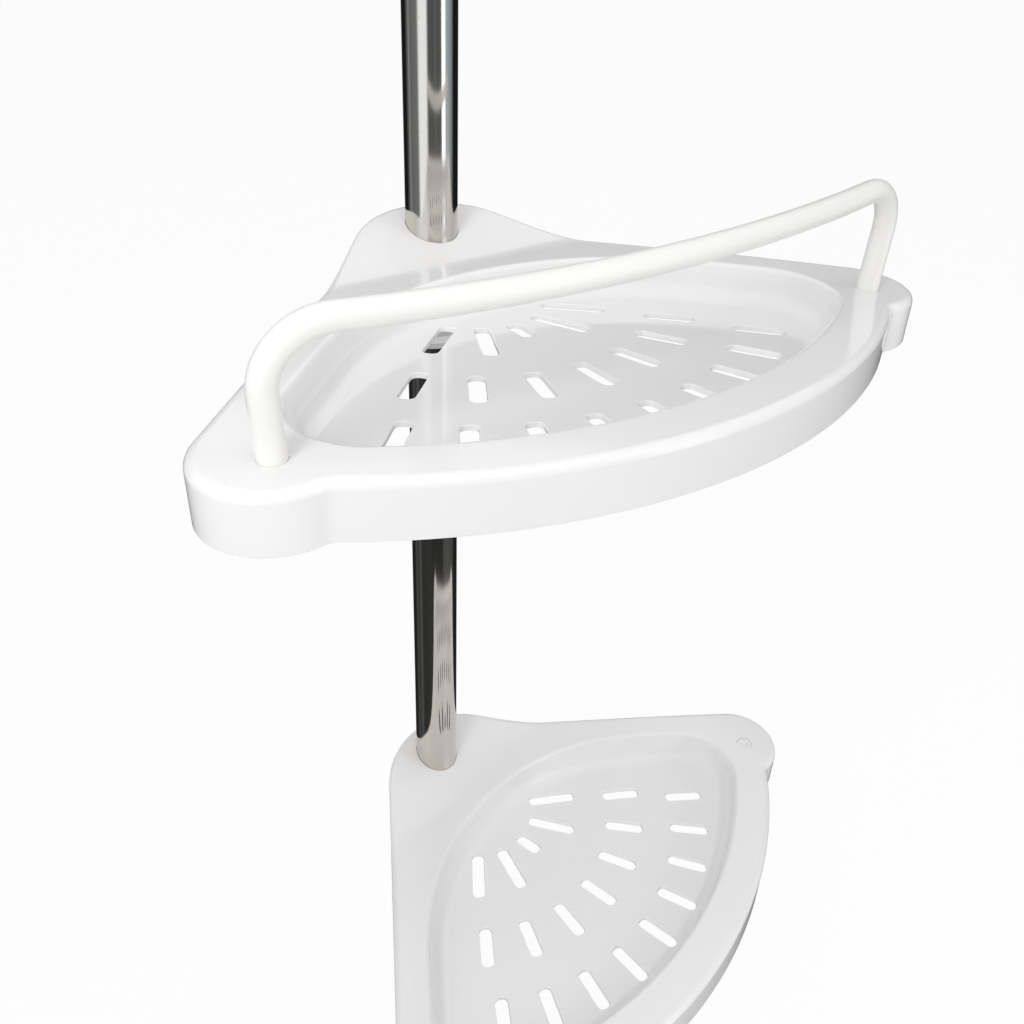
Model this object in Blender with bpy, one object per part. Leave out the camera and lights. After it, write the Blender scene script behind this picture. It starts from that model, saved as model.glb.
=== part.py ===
"""Corner shower shelf: two quarter-round moulded trays on a sprung telescopic pole.

The pole's axis is Z and the foot's bottom face lies at z = 0. The lower tray points along -Y.
"""

import math

import bmesh
import bpy
import numpy as np
from mathutils import Matrix, Vector

# Clearances and resolution
GAP = 0.0003
MERGE = 0.00001
OVERRUN = 0.002
ROUND_STEPS = 40
SMALL_STEPS = 20

# Pole tubes
TUBE_RADIUS = 0.0125
TUBE_WALL = 0.0012
INNER_TUBE_RADIUS = 0.0102
INNER_TUBE_WALL = 0.0010
LOWER_TUBE_LENGTH = 0.5357
UPPER_TUBE_LENGTH = 0.2152
INNER_TUBE_LENGTH = 0.1900
INNER_TUBE_OVERLAP = 0.0735
COUPLING_WALL = 0.0012
COUPLING_LENGTH = 0.080

# Rubber pads and end cups, the same at the foot and at the head
PAD_RADIUS = 0.027
PAD_EDGE = 0.002
PAD_HEIGHT = 0.009
PAD_WALL = 0.0025
PAD_FLOOR = 0.004
CUP_BASE_HEIGHT = 0.007
CUP_FLOOR = 0.0075
CUP_HEIGHT = 0.030
CUP_NECK_WALL = 0.0028
CUP_SPIGOT_LENGTH = 0.026
CUP_EDGE = 0.001

# Guide collar and bushes
COLLAR_WALL = 0.003
COLLAR_GRIP = 0.0125
COLLAR_LIP = 0.008
COLLAR_EDGE = 0.0015
SEAT_HEIGHT = 0.012
SEAT_SPIGOT_RADIUS = 0.0055
SEAT_SPIGOT_LENGTH = 0.010
BUSH_FLANGE = 0.006
BUSH_SPIGOT_LENGTH = 0.014
BUSH_BORE_RADIUS = 0.0045

# Tension spring
WIRE_RADIUS = 0.0011
COIL_RADIUS = 0.0082
SPRING_TURNS = 14
POINTS_PER_TURN = 9

# Tray heights, measured from the middle of its floor
LOWER_TRAY_Z = 0.200
TRAY_SPACING = 0.3435
FLOOR_THICKNESS = 0.0025
RIM_HEIGHT = 0.0162
REAR_RIM_RISE = 0.0021
RIM_SLOPE_START = 0.070
RIM_SLOPE_END = 0.160
SKIRT_DEPTH = 0.006
HUB_RISE = 0.0157
HUB_BACK = -0.024
HUB_FOOT = 0.033

# Tray outline, seen from above: X runs from the pole to the middle of the front
EAR_RADIUS = 0.0265
EAR_INSET = 0.01747964
HUB_CORNER_RADIUS = 0.0541
HUB_CORNER_X = 0.0344
FRONT_CENTRE_X = -0.0387
FRONT_RADIUS = 0.2445
NOTCH_RADIUS = 0.007
FRONT_RIM_WIDTH = 0.0195
RECESS_REAR_X = 0.0420
RECESS_BORDER = 0.0118
RECESS_EAR_FILLET = 0.032
RECESS_HUB_FILLET = 0.070
WALL_THICKNESS = 0.0025
SKIRT_DRAFT = 0.003
RIM_FILLET = 0.0035
RECESS_FILLET = 0.0022
RECESS_RUN = 0.0052
FLOOR_FILLET = 0.0058
SKIRT_EDGE = 0.0006

# Swivel of the trays about the pole: the lower one's middle points along -Y
LOWER_SWIVEL = math.radians(-90)
UPPER_SWIVEL = math.radians(-106.5)

# Drain slots: rings about a centre on the tray's middle line, at shares of the floor's reach from it
SLOT_CENTRE_X = 0.0338
SLOT_WIDTH = 0.007
SLOT_CORNER = 0.0018
INNER_SLOT_SHARE = 0.338516
INNER_SLOT_LENGTH = 0.0287
INNER_SLOT_PITCH = math.radians(24.15)
SHORT_SLOT_LENGTH = 0.0155
MIDDLE_SLOT_SHARE = 0.65371
MIDDLE_SLOT_LENGTH = 0.0229
MIDDLE_SLOT_PITCH = math.radians(15.4)
OUTER_SLOT_SHARE = 0.937102
OUTER_SLOT_LENGTH = 0.0231
OUTER_SLOT_PITCH = math.radians(10.9)

# Hub boss and the taper sleeve in it
BOSS_RADIUS = 0.0188
BOSS_DEPTH = 0.018
TAPER_TOP_Z = 0.012
TAPER_TOP_RADIUS = 0.0141
TAPER_BOTTOM_RADIUS = 0.0157
SLEEVE_FLANGE_RADIUS = 0.0188
SLEEVE_FLANGE_HEIGHT = 0.0037
SLEEVE_NECK_RADIUS = 0.0150
SLEEVE_NECK_LENGTH = 0.008
SLEEVE_SPLIT = math.radians(3)
RING_SECTION = 0.0022
RING_HEIGHT = 0.004
RIB_THICKNESS = 0.002
RIB_REACH = 0.065

# Guard rail and the ear holes
RAIL_RADIUS = 0.0049
RAIL_HEIGHT = 0.0644
RAIL_BEND = 0.021
RAIL_BULGE = 0.0126
RAIL_SAG = 0.0045
RAIL_LEAN_FORWARD = math.radians(3.6)
RAIL_LEAN_OUT = math.radians(2.9)
RAIL_TILT = math.radians(1.0)
RAIL_SINK = 0.003
EAR_HOLE_SHIFT = 0.0057
EAR_HOLE_OFFSET = -0.0022
SOCKET_WALL = 0.002
SOCKET_FLANGE_RADIUS = 0.0095
SOCKET_FLANGE_HEIGHT = 0.002
EAR_BOSS_WALL = 0.0025
PLUG_DOME = 0.0004
PLUG_HEAD_HEIGHT = 0.003
PLUG_SHANK_WALL = 0.0015

# Heights that follow from the sizes above
TUBE_FOOT_Z = PAD_FLOOR + GAP + CUP_FLOOR + GAP
LOWER_TUBE_TOP = TUBE_FOOT_Z + LOWER_TUBE_LENGTH
UPPER_TUBE_FOOT = LOWER_TUBE_TOP + GAP
UPPER_TUBE_TOP = UPPER_TUBE_FOOT + UPPER_TUBE_LENGTH
UPPER_TRAY_Z = LOWER_TRAY_Z + TRAY_SPACING
COUPLING_FOOT = LOWER_TUBE_TOP - COUPLING_LENGTH / 2
SEAT_FOOT = COUPLING_FOOT + COUPLING_LENGTH + GAP
INNER_TUBE_FOOT = UPPER_TUBE_TOP - INNER_TUBE_OVERLAP
BUSH_FOOT = INNER_TUBE_FOOT - GAP - BUSH_FLANGE
INNER_TUBE_TOP = INNER_TUBE_FOOT + INNER_TUBE_LENGTH
HEAD_TOP = INNER_TUBE_TOP + TUBE_FOOT_Z

# Radii that follow from the sizes above
TUBE_BORE = TUBE_RADIUS - TUBE_WALL
INNER_TUBE_BORE = INNER_TUBE_RADIUS - INNER_TUBE_WALL
TUBE_HOLE = TUBE_RADIUS + GAP
EAR_HOLE_RADIUS = RAIL_RADIUS + SOCKET_WALL + GAP + GAP

FLOOR_TOP = FLOOR_THICKNESS / 2
FULL_TURN = math.tau
DIAGONAL = math.radians(45)
WALL_NORMAL = math.radians(135)

# Places along the tray that follow from its front's arc
ARC_SHIFT = FRONT_CENTRE_X * math.cos(DIAGONAL)
EAR_REACH = ARC_SHIFT + math.sqrt((FRONT_RADIUS - EAR_INSET) ** 2 - ARC_SHIFT**2)
EAR_HOLE_REACH = EAR_REACH + EAR_HOLE_SHIFT
RECESS_FRONT_RADIUS = FRONT_RADIUS - FRONT_RIM_WIDTH
FLOOR_REACH = FRONT_CENTRE_X + RECESS_FRONT_RADIUS - RECESS_RUN - FLOOR_FILLET - SLOT_CENTRE_X
INNER_SLOT_RADIUS = FLOOR_REACH * INNER_SLOT_SHARE
MIDDLE_SLOT_RADIUS = FLOOR_REACH * MIDDLE_SLOT_SHARE
OUTER_SLOT_RADIUS = FLOOR_REACH * OUTER_SLOT_SHARE


def clear_scene():
    for obj in list(bpy.data.objects):
        bpy.data.objects.remove(obj, do_unlink=True)


def plastic(name, colour, roughness):
    return principled(name, colour, roughness, 0.0)


def principled(name, colour, roughness, metallic):
    material = bpy.data.materials.new(name)
    material.use_nodes = True
    shader = material.node_tree.nodes["Principled BSDF"]
    shader.inputs["Base Color"].default_value = (*colour, 1.0)
    shader.inputs["Roughness"].default_value = roughness
    shader.inputs["Metallic"].default_value = metallic
    material.diffuse_color = (*colour, 1.0)
    return material


def make_materials():
    return {
        "tray": plastic("gloss_white_tray", (0.86, 0.86, 0.87), 0.18),
        "rail": plastic("satin_white_rail", (0.88, 0.87, 0.85), 0.30),
        "steel": principled("polished_steel", (0.78, 0.77, 0.75), 0.06, 1.0),
        "zinc": principled("zinc_plated_steel", (0.62, 0.63, 0.64), 0.28, 1.0),
        "cup": plastic("white_cup", (0.82, 0.82, 0.82), 0.30),
        "sleeve": plastic("grey_sleeve", (0.55, 0.56, 0.58), 0.45),
        "rubber": plastic("grey_rubber", (0.20, 0.20, 0.21), 0.75),
    }


def new_object(name, mesh, material, parent=None):
    mesh.name = name
    if not mesh.materials:
        mesh.materials.append(material)
    obj = bpy.data.objects.new(name, mesh)
    bpy.context.scene.collection.objects.link(obj)
    obj.parent = parent
    return obj


def new_pivot(name, height, turn=0.0, parent=None):
    pivot = bpy.data.objects.new(name, None)
    bpy.context.scene.collection.objects.link(pivot)
    pivot.location.z = height
    pivot.rotation_euler.z = turn
    pivot.parent = parent
    return pivot


def mesh_of(shape, smooth=True):
    """A mesh from a bmesh, its normals facing out and its creases sharp."""
    bmesh.ops.recalc_face_normals(shape, faces=shape.faces)
    mesh = bpy.data.meshes.new("mesh")
    shape.to_mesh(mesh)
    shape.free()
    if smooth:
        mesh.shade_smooth()
        mesh.set_sharp_from_angle(angle=math.radians(30))
    return mesh


def turned(profile, steps=ROUND_STEPS, start=0.0, angle=FULL_TURN):
    """Revolve (radius, height) points about Z: a closed profile, or one that ends on the axis."""
    shape = bmesh.new()
    points = [shape.verts.new((radius, 0, height)) for radius, height in profile]
    edges = [shape.edges.new(pair) for pair in zip(points, points[1:])]
    if all(radius > 0 for radius, _ in profile):
        edges.append(shape.edges.new((points[-1], points[0])))
    geometry = points + edges
    if angle < FULL_TURN:
        geometry.append(shape.faces.new(points))
    bmesh.ops.spin(
        shape,
        geom=geometry,
        cent=(0, 0, 0),
        axis=(0, 0, 1),
        angle=angle,
        steps=steps,
        use_merge=angle >= FULL_TURN,
    )
    bmesh.ops.remove_doubles(shape, verts=shape.verts, dist=MERGE)
    bmesh.ops.rotate(shape, verts=shape.verts, cent=(0, 0, 0), matrix=Matrix.Rotation(start, 3, "Z"))
    return mesh_of(shape)


def lofted(loops):
    """Skin a row of closed loops that have as many points each, and close both ends."""
    shape = bmesh.new()
    rows = [[shape.verts.new(point) for point in loop] for loop in loops]
    for row, following in zip(rows, rows[1:]):
        for i in range(len(row)):
            j = (i + 1) % len(row)
            shape.faces.new((row[i], row[j], following[j], following[i]))
    shape.faces.new(rows[0])
    shape.faces.new(rows[-1])
    return mesh_of(shape)


def pipe_profile(radius, wall, foot, top):
    return [(radius, foot), (radius, top), (radius - wall, top), (radius - wall, foot)]


def arc(centre, radius, start, end, count):
    """Points along an arc in the XY plane, without its end."""
    angles = np.linspace(start, end, count, endpoint=False)
    return [on_circle(centre, radius, angle) for angle in angles]


def run(start, end, count):
    """Points along a straight run, without its end."""
    shares = np.linspace(0, 1, count, endpoint=False)
    return [midway(start, end, share) for share in shares]


def mirrored(half):
    """A closed outline from its half on the +Y side, whose two ends lie on the X axis."""
    return half + [(x, -y) for x, y in reversed(half[1:-1])]


def wall_point(along, out):
    """A point beside the line from the pole to the ear, on the +Y side."""
    cosine = math.cos(DIAGONAL)
    return ((along - out) * cosine, (along + out) * cosine)


def meeting_circle(first, first_distance, second, second_distance):
    """The point at the given distances from two centres, on the side away from the pole."""
    gap = math.dist(first, second)
    along = (first_distance**2 - second_distance**2 + gap**2) / (2 * gap)
    across = math.sqrt(first_distance**2 - along**2)
    direction = ((second[0] - first[0]) / gap, (second[1] - first[1]) / gap)
    x = first[0] + along * direction[0] + across * direction[1]
    y = first[1] + along * direction[1] - across * direction[0]
    return (x, y)


def on_circle(centre, radius, angle):
    return (centre[0] + radius * math.cos(angle), centre[1] + radius * math.sin(angle))


def midway(start, end, share):
    return (start[0] + (end[0] - start[0]) * share, start[1] + (end[1] - start[1]) * share)


def heading(start, end):
    return math.atan2(end[1] - start[1], end[0] - start[0])


# Where the wall beside the hub starts, from the ear towards the hub
HUB_STATION_SHARE = 0.52

# Points on each stretch of half an outline: front, notch, ear, wall, wall beside the hub, hub
STRETCH_COUNTS = (11, 2, 7, 3, 6, 6)


def outer_outline(inset):
    """The tray's outline from above, drawn in by an inset."""
    front, notch, ear, wall, hub_wall, hub = STRETCH_COUNTS
    arc_centre = (FRONT_CENTRE_X, 0)
    ear_centre = wall_point(EAR_REACH, 0)
    notch_centre = meeting_circle(
        arc_centre, FRONT_RADIUS + NOTCH_RADIUS, ear_centre, EAR_RADIUS + NOTCH_RADIUS
    )
    front_end = heading(arc_centre, notch_centre)
    notch_start = front_end + math.pi
    notch_end = heading(notch_centre, ear_centre)
    ear_start = heading(ear_centre, notch_centre)
    hub_centre = (HUB_CORNER_X, 0)
    apart = math.dist(hub_centre, ear_centre)
    wall_normal = heading(hub_centre, ear_centre) + math.acos((HUB_CORNER_RADIUS - EAR_RADIUS) / apart)
    half = arc(arc_centre, FRONT_RADIUS - inset, 0, front_end, front)
    half += arc(notch_centre, NOTCH_RADIUS + inset, notch_start, notch_end, notch)
    half += arc(ear_centre, EAR_RADIUS - inset, ear_start, wall_normal, ear)
    wall_start = on_circle(ear_centre, EAR_RADIUS - inset, wall_normal)
    wall_end = on_circle(hub_centre, HUB_CORNER_RADIUS - inset, wall_normal)
    station = midway(wall_start, wall_end, HUB_STATION_SHARE)
    half += run(wall_start, station, wall)
    half += run(station, wall_end, hub_wall)
    half += arc(hub_centre, HUB_CORNER_RADIUS - inset, wall_normal, math.pi, hub)
    return mirrored(half + [(HUB_CORNER_X - HUB_CORNER_RADIUS + inset, 0)])


def recess_centres():
    """Centres of the recess's two corner fillets: at the ear and beside the hub."""
    reach = RECESS_FRONT_RADIUS - RECESS_EAR_FILLET
    out = RECESS_BORDER - RECESS_EAR_FILLET
    lean = math.asin((ARC_SHIFT + out) / reach)
    angle = DIAGONAL + lean
    ear = (FRONT_CENTRE_X + reach * math.cos(angle), reach * math.sin(angle))
    hub_x = RECESS_REAR_X + RECESS_HUB_FILLET
    hub_y = hub_x + (RECESS_BORDER - RECESS_HUB_FILLET) / math.cos(DIAGONAL)
    return ear, (hub_x, hub_y)


def recess_outline(inset):
    """The edge of the tray's recess from above, drawn in by an inset."""
    front, notch, ear, wall, hub_wall, hub = STRETCH_COUNTS
    ear_centre, hub_centre = recess_centres()
    arc_centre = (FRONT_CENTRE_X, 0)
    front_end = heading(arc_centre, ear_centre)
    ear_fillet = RECESS_EAR_FILLET - inset
    hub_fillet = RECESS_HUB_FILLET - inset
    ear_along = (ear_centre[0] + ear_centre[1]) * math.cos(DIAGONAL)
    hub_along = (hub_centre[0] + hub_centre[1]) * math.cos(DIAGONAL)
    out = RECESS_BORDER - inset
    rear_x = RECESS_REAR_X + inset
    half = arc(arc_centre, RECESS_FRONT_RADIUS - inset, 0, front_end, front)
    half += arc(ear_centre, ear_fillet, front_end, WALL_NORMAL, notch + ear)
    half += run(wall_point(ear_along, out), wall_point(hub_along, out), wall)
    half += arc(hub_centre, hub_fillet, WALL_NORMAL, math.pi, hub_wall)
    half += run((rear_x, hub_centre[1]), (rear_x, 0), hub)
    return mirrored(half + [(rear_x, 0)])


def smooth_fall(x, start, end):
    """1 before start, 0 past end, and an S-shaped fall between."""
    t = min(max((x - start) / (end - start), 0.0), 1.0)
    return 1.0 - t * t * (3.0 - 2.0 * t)


def deck_height(x):
    """Height of the rim and of the hub's slope, which change along the tray's middle line only."""
    rim = RIM_HEIGHT + REAR_RIM_RISE * smooth_fall(x, RIM_SLOPE_START, RIM_SLOPE_END)
    return rim + HUB_RISE * smooth_fall(x, HUB_BACK, HUB_FOOT)


def level(outline, height):
    return [(x, y, height) for x, y in outline]


def along_deck(outline, drop):
    """The outline at a drop below the deck."""
    return [(x, y, deck_height(x) - drop) for x, y in outline]


def between(first, second, share):
    return [midway(a, b, share) for a, b in zip(first, second)]


DECK_SHARES = (0.0, 0.2, 0.4, 0.6, 0.8, 1.0)
SHELL_SHARES = (0.3, 0.7)


def tray_loops():
    """Loops over the tray's whole skin, from the middle of its floor out and back underneath."""
    floor_run = RECESS_RUN + FLOOR_FILLET
    loops = [
        level(recess_outline(floor_run), FLOOR_TOP),
        level(recess_outline(RECESS_RUN + FLOOR_FILLET * 0.4), FLOOR_TOP + FLOOR_FILLET * 0.16),
        level(recess_outline(RECESS_RUN), FLOOR_TOP + FLOOR_FILLET * 0.8),
        along_deck(recess_outline(RECESS_FILLET), RECESS_FILLET * 0.85),
        along_deck(recess_outline(RECESS_FILLET * 0.5), RECESS_FILLET * 0.25),
    ]
    rim_edge = outer_outline(RIM_FILLET)
    recess_edge = recess_outline(0)
    loops += [along_deck(between(recess_edge, rim_edge, share), 0) for share in DECK_SHARES]
    loops += [
        along_deck(outer_outline(RIM_FILLET * 0.3), RIM_FILLET * 0.3),
        along_deck(outer_outline(0), RIM_FILLET),
        level(outer_outline(SKIRT_DRAFT), SKIRT_EDGE - SKIRT_DEPTH),
        level(outer_outline(SKIRT_DRAFT + SKIRT_EDGE), -SKIRT_DEPTH),
        level(outer_outline(SKIRT_DRAFT + WALL_THICKNESS), -SKIRT_DEPTH),
    ]
    shell_edge = outer_outline(WALL_THICKNESS + SKIRT_EDGE)
    pan_edge = recess_outline(RECESS_FILLET - WALL_THICKNESS)
    loops.append(along_deck(shell_edge, RIM_FILLET))
    loops += [along_deck(between(shell_edge, pan_edge, share), WALL_THICKNESS) for share in SHELL_SHARES]
    loops += [
        along_deck(pan_edge, RIM_FILLET),
        level(recess_outline(RECESS_RUN - WALL_THICKNESS * 0.6), FLOOR_TOP),
        level(recess_outline(RECESS_RUN + FLOOR_FILLET * 0.3), -FLOOR_TOP),
    ]
    return loops


def ear_hole(side):
    """Centre of an ear hole: side is 1 for the +Y ear and -1 for the other."""
    x, y = wall_point(EAR_HOLE_REACH, EAR_HOLE_OFFSET)
    return (x, side * y)


def ring_outline(centre, radius, steps):
    return arc(centre, radius, 0, FULL_TURN, steps)


def sloped_post(centre, radius, foot, steps):
    """A post from foot up into the deck, its top following the deck's slope."""
    outline = ring_outline(centre, radius, steps)
    return lofted([level(outline, foot), along_deck(outline, WALL_THICKNESS * 0.5)])


def slot_places():
    """(radius, angle, length) of every drain slot, about the slots' centre."""
    places = [(INNER_SLOT_RADIUS, i * INNER_SLOT_PITCH, INNER_SLOT_LENGTH) for i in (-2, -1, 1, 2)]
    short_radius = INNER_SLOT_RADIUS - (INNER_SLOT_LENGTH - SHORT_SLOT_LENGTH) / 2
    places.append((short_radius, 0.0, SHORT_SLOT_LENGTH))
    places += [(MIDDLE_SLOT_RADIUS, i * MIDDLE_SLOT_PITCH, MIDDLE_SLOT_LENGTH) for i in range(-3, 4)]
    places += [(OUTER_SLOT_RADIUS, i * OUTER_SLOT_PITCH, OUTER_SLOT_LENGTH) for i in range(-4, 5)]
    return places


def slot_outline(radius, angle, length):
    """A rectangle with clipped corners that lies along its radius."""
    half_length = length / 2
    half_width = SLOT_WIDTH / 2
    corners = []
    for along, across in ((1, 1), (-1, 1), (-1, -1), (1, -1)):
        clipped = [
            (along * half_length, across * (half_width - SLOT_CORNER)),
            (along * (half_length - SLOT_CORNER), across * half_width),
        ]
        corners += clipped if along * across > 0 else clipped[::-1]
    cosine, sine = math.cos(angle), math.sin(angle)
    return [
        (SLOT_CENTRE_X + (radius + u) * cosine - v * sine, (radius + u) * sine + v * cosine)
        for u, v in corners
    ]


def slot_cutter_mesh():
    shape = bmesh.new()
    for place in slot_places():
        outline = slot_outline(*place)
        face = shape.faces.new([shape.verts.new((x, y, -FLOOR_THICKNESS)) for x, y in outline])
        lifted = bmesh.ops.extrude_face_region(shape, geom=[face])["geom"]
        points = [v for v in lifted if isinstance(v, bmesh.types.BMVert)]
        bmesh.ops.translate(shape, verts=points, vec=(0, 0, FLOOR_THICKNESS * 4))
    return mesh_of(shape, smooth=False)


def bore_cutter_mesh():
    """The pole's hole through the hub, widening to the sleeve's taper below."""
    foot = -BOSS_DEPTH - OVERRUN
    flare = (TAPER_BOTTOM_RADIUS - TAPER_TOP_RADIUS) / (TAPER_TOP_Z + BOSS_DEPTH)
    top = deck_height(HUB_BACK) + OVERRUN
    return turned(
        [
            (0, foot),
            (TAPER_BOTTOM_RADIUS + flare * OVERRUN, foot),
            (TAPER_TOP_RADIUS, TAPER_TOP_Z),
            (TUBE_HOLE, TAPER_TOP_Z),
            (TUBE_HOLE, top),
            (0, top),
        ]
    )


def ear_cutter_mesh(side):
    """The rail's hole through the ear, wider below for its socket."""
    shape = turned(
        [
            (0, -SKIRT_DEPTH - OVERRUN),
            (EAR_HOLE_RADIUS, -SKIRT_DEPTH - OVERRUN),
            (EAR_HOLE_RADIUS, RIM_HEIGHT - WALL_THICKNESS),
            (RAIL_RADIUS + GAP, RIM_HEIGHT - WALL_THICKNESS),
            (RAIL_RADIUS + GAP, RIM_HEIGHT + OVERRUN),
            (0, RIM_HEIGHT + OVERRUN),
        ],
        steps=SMALL_STEPS,
    )
    shape.transform(Matrix.Translation((*ear_hole(side), 0)))
    return shape


# Stations along a rib, from the boss outwards, at which its top follows the hub's slope
RIB_SHARES = (0.0, 0.18, 0.36, 0.54, 0.72, 1.0)


def rib_mesh(side):
    """A rib under the hub, from the boss along the wall, its top inside the deck all along."""
    start = BOSS_RADIUS - RIB_THICKNESS
    sections = []
    for share in RIB_SHARES:
        along = start + (RIB_REACH - start) * share
        feet = [wall_point(along, out) for out in (RIB_THICKNESS / 2, -RIB_THICKNESS / 2)]
        feet = [(x, side * y) for x, y in feet]
        sections.append(level(feet, FLOOR_TOP) + along_deck(feet[::-1], WALL_THICKNESS * 0.5))
    return lofted(sections)


def with_boolean(target, operation, mesh):
    """Add one EXACT Boolean to target, its helper hidden."""
    helper = bpy.data.objects.new("helper", mesh)
    bpy.context.scene.collection.objects.link(helper)
    helper.hide_render = True
    helper.display_type = "WIRE"
    modifier = target.modifiers.new(operation.lower(), "BOOLEAN")
    modifier.operation = operation
    modifier.solver = "EXACT"
    modifier.object = helper
    return helper


def tray_mesh():
    """One moulded tray: pan, rim, hub, boss, ears and drain slots, with its origin on the pole's axis."""
    blank = bpy.data.objects.new("tray_blank", lofted(tray_loops()))
    bpy.context.scene.collection.objects.link(blank)
    steps = ROUND_STEPS
    helpers = [with_boolean(blank, "UNION", sloped_post((0, 0), BOSS_RADIUS, -BOSS_DEPTH, steps))]
    for side in (1, -1):
        boss_radius = EAR_HOLE_RADIUS + EAR_BOSS_WALL
        boss = sloped_post(ear_hole(side), boss_radius, -SKIRT_DEPTH + SOCKET_FLANGE_HEIGHT, SMALL_STEPS)
        helpers.append(with_boolean(blank, "UNION", boss))
        helpers.append(with_boolean(blank, "UNION", rib_mesh(side)))
        helpers.append(with_boolean(blank, "DIFFERENCE", ear_cutter_mesh(side)))
    helpers.append(with_boolean(blank, "DIFFERENCE", bore_cutter_mesh()))
    helpers.append(with_boolean(blank, "DIFFERENCE", slot_cutter_mesh()))
    bpy.context.view_layer.update()
    graph = bpy.context.evaluated_depsgraph_get()
    mesh = bpy.data.meshes.new_from_object(blank.evaluated_get(graph))
    for obj in [blank, *helpers]:
        bpy.data.objects.remove(obj, do_unlink=True)
    mesh.shade_smooth()
    mesh.set_sharp_from_angle(angle=math.radians(30))
    return mesh


BOW_SHARES = (0.85, 0.7, 0.55, 0.4, 0.27, 0.13, 0.0)
BEND_SHARES = (0.0, 0.14, 0.29, 0.43, 0.57, 0.71, 0.86, 1.0)
END_SHARE = 0.97


def rail_corner():
    """Where the leaning post and the bow would meet if the bend between them were sharp."""
    x, y = ear_hole(1)
    rise = RAIL_HEIGHT - RIM_HEIGHT
    return Vector((x + rise * RAIL_LEAN_FORWARD, y + rise * RAIL_LEAN_OUT, RAIL_HEIGHT))


def rail_bow(share):
    """A point on the bow over the front: share is 1 at the corner and 0 in the middle."""
    corner = rail_corner()
    swell = 1 - share**2
    return Vector((corner.x + RAIL_BULGE * swell, corner.y * share, corner.z - RAIL_SAG * swell))


def rail_half():
    """Half of the rail above the rim: the post's upper end, the bend and the bow."""
    corner = rail_corner()
    upward = (corner - Vector((*ear_hole(1), RIM_HEIGHT))).normalized()
    inward = (rail_bow(END_SHARE) - corner).normalized()
    half_turn = upward.angle(inward) / 2
    cut = RAIL_BEND * math.tan(half_turn)
    bend_start = corner - upward * cut
    bow_start = rail_bow(1 - cut / corner.y)
    pull = math.cos(half_turn)
    points = []
    for share in BEND_SHARES:
        weights = ((1 - share) ** 2, 2 * pull * share * (1 - share), share**2)
        total = bend_start * weights[0] + corner * weights[1] + bow_start * weights[2]
        points.append(total / sum(weights))
    return points + [rail_bow(share * (1 - cut / corner.y)) for share in BOW_SHARES]


def rail_points():
    """The rail's centre line. The +Y post isn't pressed home quite as far, so the bow is tilted."""
    half = rail_half()
    bow = half + [Vector((p.x, -p.y, p.z)) for p in reversed(half[:-1])]
    bow = [Vector((p.x, p.y - RAIL_TILT * (p.z - RIM_HEIGHT), p.z + RAIL_TILT * p.y)) for p in bow]
    right, left = ear_hole(1), ear_hole(-1)
    mouth = RIM_HEIGHT + GAP
    start = [Vector((*right, -RAIL_SINK)), Vector((*right, mouth))]
    end = [Vector((*left, mouth)), Vector((*left, -RAIL_SINK))]
    return start + bow + end


def tube_curve(name, points, radius, material, parent, resolution):
    """A round rod along points, its ends closed."""
    curve = bpy.data.curves.new(name, "CURVE")
    curve.dimensions = "3D"
    curve.bevel_depth = radius
    curve.bevel_resolution = resolution
    curve.use_fill_caps = True
    spline = curve.splines.new("POLY")
    spline.points.add(len(points) - 1)
    for target, point in zip(spline.points, points):
        target.co = (*point, 1.0)
    spline.use_smooth = True
    curve.materials.append(material)
    obj = bpy.data.objects.new(name, curve)
    bpy.context.scene.collection.objects.link(obj)
    obj.parent = parent
    return obj


def spring_points(foot, top):
    """A round helix whose wire starts and ends upright for one wire diameter."""
    lead = WIRE_RADIUS * 2
    count = SPRING_TURNS * POINTS_PER_TURN
    points = [Vector((COIL_RADIUS, 0, foot))]
    for i in range(count + 1):
        angle = FULL_TURN * i / POINTS_PER_TURN
        height = foot + lead + (top - foot - 2 * lead) * i / count
        points.append(Vector((COIL_RADIUS * math.cos(angle), COIL_RADIUS * math.sin(angle), height)))
    points.append(Vector((*points[-1][:2], top)))
    return points


def least_turn_gap(points):
    """Least clear distance between one turn of the wire and the next."""
    cloud = np.array([tuple(point) for point in points])
    apart = np.linalg.norm(cloud[:, None] - cloud[None], axis=2)
    order = np.arange(len(cloud))
    far = np.abs(order[:, None] - order[None]) > POINTS_PER_TURN / 2
    return float(apart[far].min()) - 2 * WIRE_RADIUS


def pad_mesh():
    """A rubber pad: a shallow dish, flat below, that the cup stands in."""
    inner = PAD_RADIUS - PAD_WALL
    return turned(
        [
            (0, 0),
            (PAD_RADIUS - PAD_EDGE, 0),
            (PAD_RADIUS, PAD_EDGE),
            (PAD_RADIUS - PAD_EDGE / 2, PAD_HEIGHT),
            (inner, PAD_HEIGHT),
            (inner, PAD_FLOOR),
            (0, PAD_FLOOR),
        ]
    )


CUP_FLARE_SHARES = (0.0, 0.25, 0.5, 0.75)


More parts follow.
